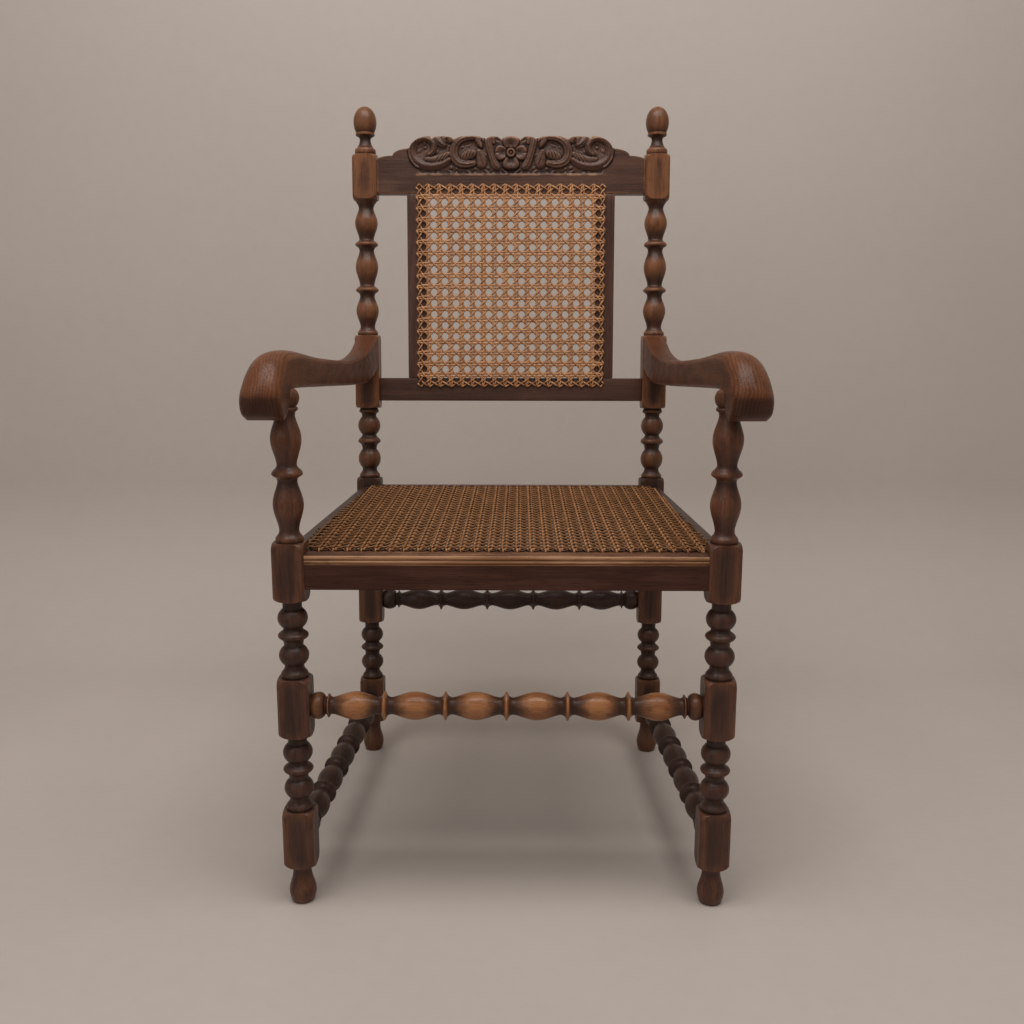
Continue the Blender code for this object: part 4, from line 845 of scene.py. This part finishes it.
def crestRelief(x, z):
    u, v = np.abs(x), z - crestBase
    ledge = np.clip((v - crest["ledge"]) / crest["ledgeSlope"], 0, 1)
    side = np.clip((crest["groundHalf"] - u) / crest["groundSlope"], 0, 1)
    away = np.hypot(u - crest["scroll"][0], v - crest["scroll"][1])
    disc = np.clip((crest["scrollReach"] - away) / crest["scrollSlope"], 0, 1)
    sunk = np.maximum(ledge * side, disc * ledge)
    sunk = sunk * sunk * (3 - 2 * sunk)
    lifted, skirt = np.zeros_like(x), np.zeros_like(x)
    for points, tall, ridges in carving.values():
        share = strokeShare(u, v, points)[0]
        flute = 1 - 0.20 * (0.5 - 0.5 * np.cos(2 * math.pi * ridges * np.clip(share, 0, 1)))
        dome = tall / 1000.0 * np.clip(1 - np.clip(share, 0, 1) ** 2.3, 0, 1) ** 0.5 * flute
        lifted = np.where((share < 1) & (dome > lifted * 0.55), np.maximum(dome, lifted), lifted)
        fall = np.clip(1 - (share / crest["skirtReach"]) ** 2, 0, 1)
        skirt = np.maximum(skirt, crest["skirt"] * tall / 1000.0 * fall)  # the forms run together
    fall = np.clip(1 - (np.hypot(x, v - flower["level"]) / crest["flowerReach"]) ** 2, 0, 1)
    skirt = np.maximum(skirt, crest["flowerSkirt"] * fall)
    lifted = np.maximum(np.maximum(lifted, flowerHeight(x, v)), skirt * np.clip(sunk * 1.5, 0, 1))
    for points in grooves:
        share, size = strokeShare(u, v, points)
        groove = 1.1 * size * np.clip(1 - share ** 2, 0, 1)
        lifted = np.maximum(lifted - groove, np.minimum(lifted, 0.0006))
    leafage = np.sin(u * 430 + 2.0 * np.sin(v * 260)) * np.sin(v * 470 + 1.6 * np.sin(u * 210))
    lifted = np.maximum(lifted, crest["leaves"] * np.clip(leafage, 0, 1) ** 0.7 * sunk)  # small leaves fill the ground
    chisel = crest["chisel"] * np.sin(u * 1900 + 3 * np.sin(v * 700)) * np.sin(v * 1500 + 2 * np.sin(u * 600))
    return lifted - crest["sunk"] * sunk + chisel * np.clip(lifted / 0.003, 0, 1)


def makeCrest():
    end = backHalf - chair["fit"]
    columns, rows = crest["columns"], crest["rows"]
    bm = bmesh.new()
    bmesh.ops.create_grid(bm, x_segments=columns, y_segments=rows, size=1.0)
    flat = np.array([v.co for v in bm.verts])
    x = flat[:, 0] * end
    share = (flat[:, 1] + 1) / 2
    z = crestBase + (crestTop(x, end) - crestBase) * share
    tall = crestRelief(x, z)
    front = -back["thickness"] / 2 - chair["fit"]
    edge = np.minimum(1, (z - crestBase) / 0.002)  # soft lower edge
    y = front - tall + 0.0012 * (1 - edge) ** 2
    for vert, place in zip(bm.verts, zip(x, y, z)):
        vert.co = place
    rim = [e for e in bm.edges if e.is_boundary]
    grown = bmesh.ops.extrude_edge_only(bm, edges=rim)["geom"]
    for vert in vertsIn(grown):
        vert.co.y = back["thickness"] / 2
    bmesh.ops.holes_fill(bm, edges=[e for e in bm.edges if e.is_boundary], sides=0)
    outward(bm)
    weatherAndShade(bm, reach=10, depth=0.0010)
    wearAndHighlight, soilAndShade = layersOf(bm, "wearAndHighlight", "soilAndShade")
    for vert in bm.verts:  # a painted highlight runs unevenly along the edge under the carving, and the back is made darker
        if vert.co.y > 0:
            vert[wearAndHighlight], vert[soilAndShade] = 0.0, crest["backDarkening"]
        off = abs(vert.co.z - crestBase - crest["ledge"] + 0.0004) / crest["glintWide"]
        if off < 1 and abs(vert.co.x) < crest["glintHalf"] and vert.co.y < 0:
            patch = 0.62 + 0.38 * math.sin(vert.co.x * 61 + 2 * math.sin(vert.co.x * 143))
            vert[wearAndHighlight] = max(vert[wearAndHighlight], crest["rub"] * (1 - off * off) * patch)
    setGrain(bm, lambda co: Vector((co.y, co.z * 0.8, co.x + 0.9)))
    finishPiece("crestRail", bm, ["crest_rail"], "crest", lean, 38.0)


makeCrest()
print("crest carved")

arm = {"height": 0.050, "nose": 0.0665, "drop": 0.0325, "flare": 0.0155, "bow": 0.006, "rearWidth": 0.037,
       "frontWidth": 0.050, "rearRound": 0.013, "frontRound": 0.040, "edge": 0.0042, "steps": 12, "cornerSteps": 5,
       "shadeBelow": -0.0010, "shadeDepth": 0.006, "dark": 0.50, "intoPost": 0.001}


def armStations():
    reach = postY(chair["armRest"]) - halfStock - frontY
    tall, nose, drop = arm["height"], arm["nose"], arm["drop"]
    end = reach + 0.003
    shape = (  # top y z, underside y z, share of the way out, of the front width and rounding, inner rounding
        (end, tall, end, -0.04 * tall, 0.00, 0.0, 0.00, 0.004),
        (reach * 0.90, 0.55 * tall, reach * 0.90, -0.40 * tall, 0.10, 0.0, 0.02, 0.004),
        (reach * 0.74, 0.33 * tall, reach * 0.74, -0.41 * tall, 0.32, 0.0, 0.06, 0.005),
        (reach * 0.38, 0.54 * tall, reach * 0.38, -0.21 * tall, 0.68, 0.5, 0.30, 0.008),
        (0.24 * nose, 0.87 * tall, 0.30 * nose, -0.02 * tall, 0.92, 1.0, 0.95, 0.012),
        (-0.54 * nose, 0.75 * tall, -0.10 * nose, -0.12 * drop, 0.97, 1.0, 1.00, 0.016),
        (-nose, 0.08 * tall, -0.20 * nose, -0.45 * drop, 1.00, 1.0, 0.60, 0.016),
        (-0.90 * nose, -0.66 * drop, -0.32 * nose, -0.80 * drop, 0.985, 0.9, 0.15, 0.012),
        (-0.64 * nose, -drop, -0.50 * nose, -drop - 0.0003, 0.914, 0.46, -0.20, 0.004),
    )
    knots = np.array([row[:5] + (arm["rearWidth"] + (arm["frontWidth"] - arm["rearWidth"]) * row[5],
                                 arm["rearRound"] + (arm["frontRound"] - arm["rearRound"]) * row[6], row[7])
                      for row in shape])
    return smoothLine(knots, arm["steps"])


def armSection(width, height, rounding, inner):
    small = min(arm["edge"], height / 4)
    inner = min(max(inner, small), height / 2.5)
    across, up = min(rounding, width - 1.1 * inner), min(rounding, height - 1.5 * small)
    corners = ((small, small, small, small, 180, arm["cornerSteps"]),
               (width - small, small, small, small, 270, arm["cornerSteps"]),
               (width - across, height - up, across, up, 0, 14),
               (inner, height - inner, inner, inner, 90, arm["cornerSteps"] + 4))
    points = []
    for cx, cy, rx, ry, first, steps in corners:
        ring = [(cx + rx * math.cos(math.radians(first + 90 * k / steps)),
                 cy + ry * math.sin(math.radians(first + 90 * k / steps))) for k in range(steps + 1)]
        if points:  # points along the flat between two corners
            last = points[-1]
            points += [tuple(np.array(last) + (np.array(ring[0]) - last) * k / 5) for k in range(1, 5)]
        points += ring
    last, first = np.array(points[-1]), np.array(points[0])
    return points + [tuple(last + (first - last) * k / 5) for k in range(1, 5)]


def makeArm(sideName, side):
    bm = bmesh.new()
    rings = []
    for topY, topZ, underY, underZ, out, width, rounding, inner in armStations():
        under = Vector((0, frontY + underY, chair["armRest"] + underZ))
        rise = Vector((0, frontY + topY, chair["armRest"] + topZ)) - under
        centre = rearX + (frontX + arm["flare"] - rearX) * out + arm["bow"] * math.sin(math.pi * clamp(out))
        ring = []
        for across, up in armSection(width, rise.length, rounding, inner):
            place = under + rise * (up / rise.length)
            place.x = side * (centre + across - width / 2)
            ring.append(bm.verts.new(place))
        rings.append(ring)
    bridge(bm, rings)
    for ring in (rings[0], rings[-1]):
        bm.faces.new(ring)
    outward(bm)
    inverse, stop = lean.inverted(), -halfStock + arm["intoPost"]
    for vert in bm.verts:  # the end follows the lean of the post
        local = inverse @ vert.co
        if local.y > stop:
            local.y = stop
            vert.co = lean @ local
    weatherAndShade(bm, reach=30, depth=0.0022)
    soilAndShade, = layersOf(bm, "soilAndShade")
    for vert in bm.verts:  # painted shade under the front of the scroll, where it turns down away from the light
        low = (chair["armRest"] + arm["shadeBelow"] - vert.co.z) / arm["shadeDepth"]
        ahead = (-vert.normal.y - 0.35) / 0.2 if vert.co.y < frontY - 0.02 else 0.0
        vert[soilAndShade] = max(vert[soilAndShade], arm["dark"] * clamp(low) * clamp(ahead))
    setGrain(bm, lambda co: Vector((co.x, co.z * 0.9 + 0.2 * side, co.y)))
    cadSide = sideName.lower()
    finishPiece("arm" + sideName, bm, ["arm_" + cadSide, "arm_dowel_" + cadSide], "arms", None, 40.0)


for sideName, side in sides:
    makeArm(sideName, side)
print("arms shaped")


def ribbon(bm, layers, places, upward, spec, width, shade, seed):
    ahead = np.gradient(places, axis=0)
    ahead /= np.linalg.norm(ahead, axis=1, keepdims=True) + 1e-12
    across = np.cross(ahead, upward)
    across /= np.linalg.norm(across, axis=1, keepdims=True) + 1e-12
    upright = np.cross(across, ahead)
    section = ((-0.5, -0.42), (0.5, -0.42), (0.44, 0.14), (0.0, 0.5), (-0.44, 0.14))
    length = np.concatenate([[0], np.cumsum(np.linalg.norm(np.diff(places, axis=0), axis=1))])
    rings = []
    for k in range(len(places)):
        ring = []
        for a, b in section:
            vert = bm.verts.new(places[k] + across[k] * a * width + upright[k] * b * spec["thick"])
            vert[layers[0]] = (a * width + seed, b * spec["thick"] + seed * 0.37, length[k] + seed * 3.1)
            # painted shade: each strand is darkest on its underside and darker on its sides
            vert[layers[1]] = float(min(1.0, shade[k] + (0.85 if b < 0 else 0.25 if a else 0.0)))
            ring.append(vert)
        rings.append(ring)
    bridge(bm, rings)
    bm.faces.new(list(reversed(rings[0])))
    bm.faces.new(rings[-1])


def weave(bm, spec, matrix):
    layers = (bm.verts.layers.float_vector.new("grain"), bm.verts.layers.float.new("soilAndShade"))
    bm.verts.layers.float.new("wearAndHighlight")
    pitch, reach, thick = spec["pitch"], spec["reach"], spec["thick"]
    rotate, origin = np.array(matrix.to_3x3()), np.array(matrix.translation)
    rng = np.random.default_rng(11)

    def squeeze(value, axis):  # the last crossing before the holes is drawn closer to them
        over = abs(value) - reach[axis] + 1
        if over > 0:
            value = math.copysign(reach[axis] - 1 + over * spec["border"][axis], value)
        return pitch[axis] * value

    def lay(stops, width, tone, pull):
        runs, start = [], None
        for k, stop in enumerate([*stops, None]):
            inside = stop is not None and spec["inside"](stop[0], stop[1])
            if inside and start is None:
                start = k
            elif not inside and start is not None:
                runs.append((start, k))
                start = None
        first, last = max(runs, key=lambda run: run[1] - run[0], default=(0, 0))
        kept = stops[first:last]
        if len(kept) < 3:
            return
        spots = np.array([(squeeze(x, 0), squeeze(y, 1), up) for x, y, up in kept])
        spots[:, :2] += rng.normal(0, spec["wobble"], (len(spots), 2))
        # painted shade: strands that lie lower are darker, and each strand is darker again where it dips under another
        shade = [tone + (0.45 if up < -thick * 0.2 else 0.0) for x, y, up in kept]
        for step in range(min(4, len(spots) // 2)):  # both ends draw together and go down into their holes
            for end in (step, -1 - step):
                spots[end, :2] -= np.array(pull) * (1 - step / 4)
                spots[end, 2] -= spec["plunge"] * (1 - step / 4) ** 2
        places = origin + spots @ rotate.T
        seed = float(rng.uniform(0, 9))
        ribbon(bm, layers, places, rotate[:, 2], spec, width * (1 + rng.normal(0, 0.07)), shade, seed)

    def straight(vertical):
        run, cross = (reach[1], reach[0]) if vertical else (reach[0], reach[1])
        phase, crossPhase = (spec["phase"][1], spec["phase"][0]) if vertical else spec["phase"]
        wide, gap = spec["upright"] if vertical else spec["across"]
        apart = gap / pitch[0] / 2
        meet = spec["across" if vertical else "upright"][1] / pitch[0] / 2
        crossings = [(-meet, -1), (meet, 1)] + [(rest, 0) for rest in spec["rests"]]
        for line in np.arange(crossPhase - 1.5 - math.ceil(cross), cross - 0.9, 1.0):
            if line < 0.9 - cross:
                continue
            for strand in (-1, 1):
                mid = line + strand * apart
                places = [(-run, 0), (run, 0)]
                for node in np.arange(phase - 1.5 - math.ceil(run), run + 1, 1.0):
                    for step, over in crossings:
                        if abs(node + step) < run - 0.05:
                            places.append((node + step, over * strand if vertical else -over * strand))
                stops = [(mid, place, over * thick * 0.5) if vertical else (place, mid, over * thick * 0.5)
                         for place, over in sorted(places)]
                drawn = strand * apart * pitch[0] * 0.85
                lay(stops, wide, *((0.0, (drawn, 0)) if vertical else (spec["acrossShade"], (0, drawn))))

    def slanted(way):
        limit = reach[0] + reach[1]
        offset = spec["phase"][0] - way * spec["phase"][1] + 0.5
        for line in np.arange(offset - math.ceil(limit) - 1, limit + 1, 1.0):
            stops = []
            for y in np.arange(-reach[1], reach[1] + 0.01, 1 / spec["slantSteps"]):
                x = line + way * y
                if abs(x) <= reach[0] + 0.001:
                    up = -way * math.cos(2 * math.pi * (x - spec["phase"][0])) * thick
                    stops.append((x, y, up))
            lay(stops, spec["slant"], spec["slantShade"], (0, 0))

    straight(True)
    straight(False)
    slanted(1)
    slanted(-1)


def makeCane(name, node, look, spec, matrix):
    bm = bmesh.new()
    weave(bm, spec, matrix)
    piece = finishPiece(name, bm, [node], look, None, 50.0, False)
    print(name, len(piece.data.polygons), "faces")


caneMid = (lowerRailTop + crestBase) / 2
backSpec = {
    "pitch": (0.01765, 0.01765), "reach": (9.0, 9.5), "phase": (0.0, 0.5), "border": (0.59, 0.61), "thick": 0.0011,
    "upright": (0.0032, 0.0041), "across": (0.0032, 0.0041), "slant": 0.0026, "wobble": 0.00012, "plunge": 0.0010,
    "slantSteps": 6, "rests": (0.28, 0.5, 0.72),
    "acrossShade": 0.0, "slantShade": 0.10, "inside": lambda x, y: True,
}
turnUp = Matrix.Rotation(math.pi / 2, 4, "X")
makeCane("backCane", "back_cane", "backCane", backSpec,
         lean @ Matrix.Translation((0, -back["thickness"] / 2 - back["caneProud"], caneMid)) @ turnUp)
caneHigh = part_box("seat_cane")[1]
seatFront, seatRear, seatRows = frontY + seat["caneFront"], caneHigh.y - seat["caneRear"], seat["caneRows"]
seatMid = (seatFront + seatRear) / 2
seatReach = (seatRows - 1) / 2 + 1.5
seatSpec = {
    "pitch": (0.0170, (seatRear - seatFront) / 2 / (seatReach - 0.38)), "reach": (15.0, seatReach),
    "phase": (0.32, (seatRows % 2) / 2), "border": (1.0, 0.62), "thick": 0.0018, "upright": (0.0031, 0.0042),
    "across": (0.0037, 0.0054), "slant": 0.0021, "wobble": 0.00014, "plunge": 0.0020, "slantSteps": 4,
    "rests": (0.30, 0.70), "acrossShade": 0.24, "slantShade": 0.44,
}


def onSeat(x, y):
    place = y * seatSpec["pitch"][1] + seatMid
    share = (place - frontY) / (postY(railLevel) - frontY)
    edge = frontX + (rearX - frontX) * share + seat["caneEdge"]
    if place < frontY + halfStock + 0.001:
        edge = frontX - halfStock - 0.001
    return abs(x) * seatSpec["pitch"][0] < edge and abs(y) < seatReach + 0.001


seatSpec["inside"] = onSeat
makeCane("seatCane", "seat_cane", "seatCane", seatSpec,
         Matrix.Translation((0, seatMid, chair["seatTop"] + seat["caneLift"])))
print("cane woven")


def plainMaterial(name, colour, spread):
    material, flow, shader = newMaterial(name)
    place = flow.make("ShaderNodeTexCoord", None, "Object")
    cloud = place.noise(1.3, 4.0, 0.6)
    fine = place.noise(42.0, 3.0, 0.6)
    tone = (cloud * 0.7 + fine * 0.3).ramp(0.3, 0.7)
    low, high = (tuple(c * share for c in colour) for share in (1 - spread, 1 + spread))
    tone.mix(low, high).into(shader, "Base Color")
    (0.62 + (cloud - 0.5) * 0.3).into(shader, "Roughness")
    behind = flow.make("ShaderNodeNewGeometry", None, "Backfacing")  # the camera looks through the wall from behind
    seen = behind * flow.make("ShaderNodeLightPath", None, "Is Camera Ray")
    paint, clear = Flow(flow.tree, shader.outputs[0]), flow.make("ShaderNodeBsdfTransparent")
    flow.make("ShaderNodeMixShader", {0: seen, 1: paint, 2: clear}).into(flow.tree.nodes["Material Output"], "Surface")
    return material


stageSettings = {
    "floor": (0.530, 0.466, 0.420), "spread": 0.03, "wallY": 0.95, "curve": 0.35, "wide": 5.0, "tall": 3.6,
    "front": -4.5, "light": (1.0, 0.97, 0.94, 1.0), "strength": 0.23,
}


def makeStage():
    s = stageSettings
    bm = bmesh.new()
    profile = [(s["front"], 0.0), (s["wallY"] - s["curve"], 0.0)]
    profile += [(s["wallY"] - s["curve"] + s["curve"] * math.sin(a), s["curve"] * (1 - math.cos(a)))
                for a in np.linspace(0.1, math.pi / 2, 14)]
    profile += [(s["wallY"], s["tall"])]
    chain = [bm.verts.new((-s["wide"], y, z)) for y, z in profile]
    edges = [bm.edges.new(pair) for pair in zip(chain, chain[1:])]
    grown = bmesh.ops.extrude_edge_only(bm, edges=edges)["geom"]
    bmesh.ops.translate(bm, verts=vertsIn(grown), vec=(2 * s["wide"], 0, 0))
    bm.normal_update()
    bmesh.ops.reverse_faces(bm, faces=[face for face in bm.faces if face.normal.z - face.normal.y < 0])
    for face in bm.faces:
        face.smooth = True
    mesh = bpy.data.meshes.new("studio")
    bm.to_mesh(mesh)
    bm.free()
    mesh.materials.append(plainMaterial("studioGrey", s["floor"], s["spread"]))
    studio = addObject("studio", mesh)


makeStage()


def areaLight(name, place, aim, size, power, colour):
    data = bpy.data.lights.new(name, "AREA")
    data.shape = "RECTANGLE"
    data.size, data.size_y = size
    data.energy = power
    data.color = colour
    light = addObject(name, data)
    light.location = place
    light.rotation_euler = (Vector(aim) - Vector(place)).to_track_quat("-Z", "Y").to_euler()


areaLight("overhead", (0.0, -0.75, 2.75), (0.0, -0.05, 0.3), (2.6, 1.3), 50.0, (1.0, 0.965, 0.93))
areaLight("frontFill", (-1.9, -2.6, 1.9), (0.0, 0.0, 0.5), (2.0, 2.0), 9.0, (1.0, 0.97, 0.94))
world = bpy.data.worlds.new("room")
world.use_nodes = True
background = world.node_tree.nodes["Background"]
background.inputs["Color"].default_value = stageSettings["light"]
background.inputs["Strength"].default_value = stageSettings["strength"]
bpy.context.scene.world = world

camera = {
    "place": (0.0153, -1.2207, 0.7347), "focal": 1050.0 / 1024.0, "sensor": 36.0, "pitch": 10.7815, "yaw": -0.4196,
    "roll": 0.0791, "clip": (0.05, 50.0),
}


def makeCamera():
    pitch, yaw, roll = (math.radians(camera[key]) for key in ("pitch", "yaw", "roll"))
    ahead = Vector((math.sin(yaw) * math.cos(pitch), math.cos(yaw) * math.cos(pitch), -math.sin(pitch)))
    right = Vector((math.cos(yaw), -math.sin(yaw), 0.0))
    up = right.cross(ahead)
    rightRolled = right * math.cos(roll) + up * math.sin(roll)
    upRolled = up * math.cos(roll) - right * math.sin(roll)
    data = bpy.data.cameras.new("camera")
    data.sensor_width = camera["sensor"]
    data.lens = camera["sensor"] * camera["focal"]
    data.clip_start, data.clip_end = camera["clip"]
    view = addObject("camera", data)
    basis = Matrix((rightRolled, upRolled, -ahead)).transposed().to_4x4()
    x, y, z = camera["place"]
    view.matrix_world = Matrix.Translation((x, y + frontY, z)) @ basis
    bpy.context.scene.camera = view


makeCamera()
bpy.context.scene.view_settings.view_transform = "Standard"
print("stage lit")
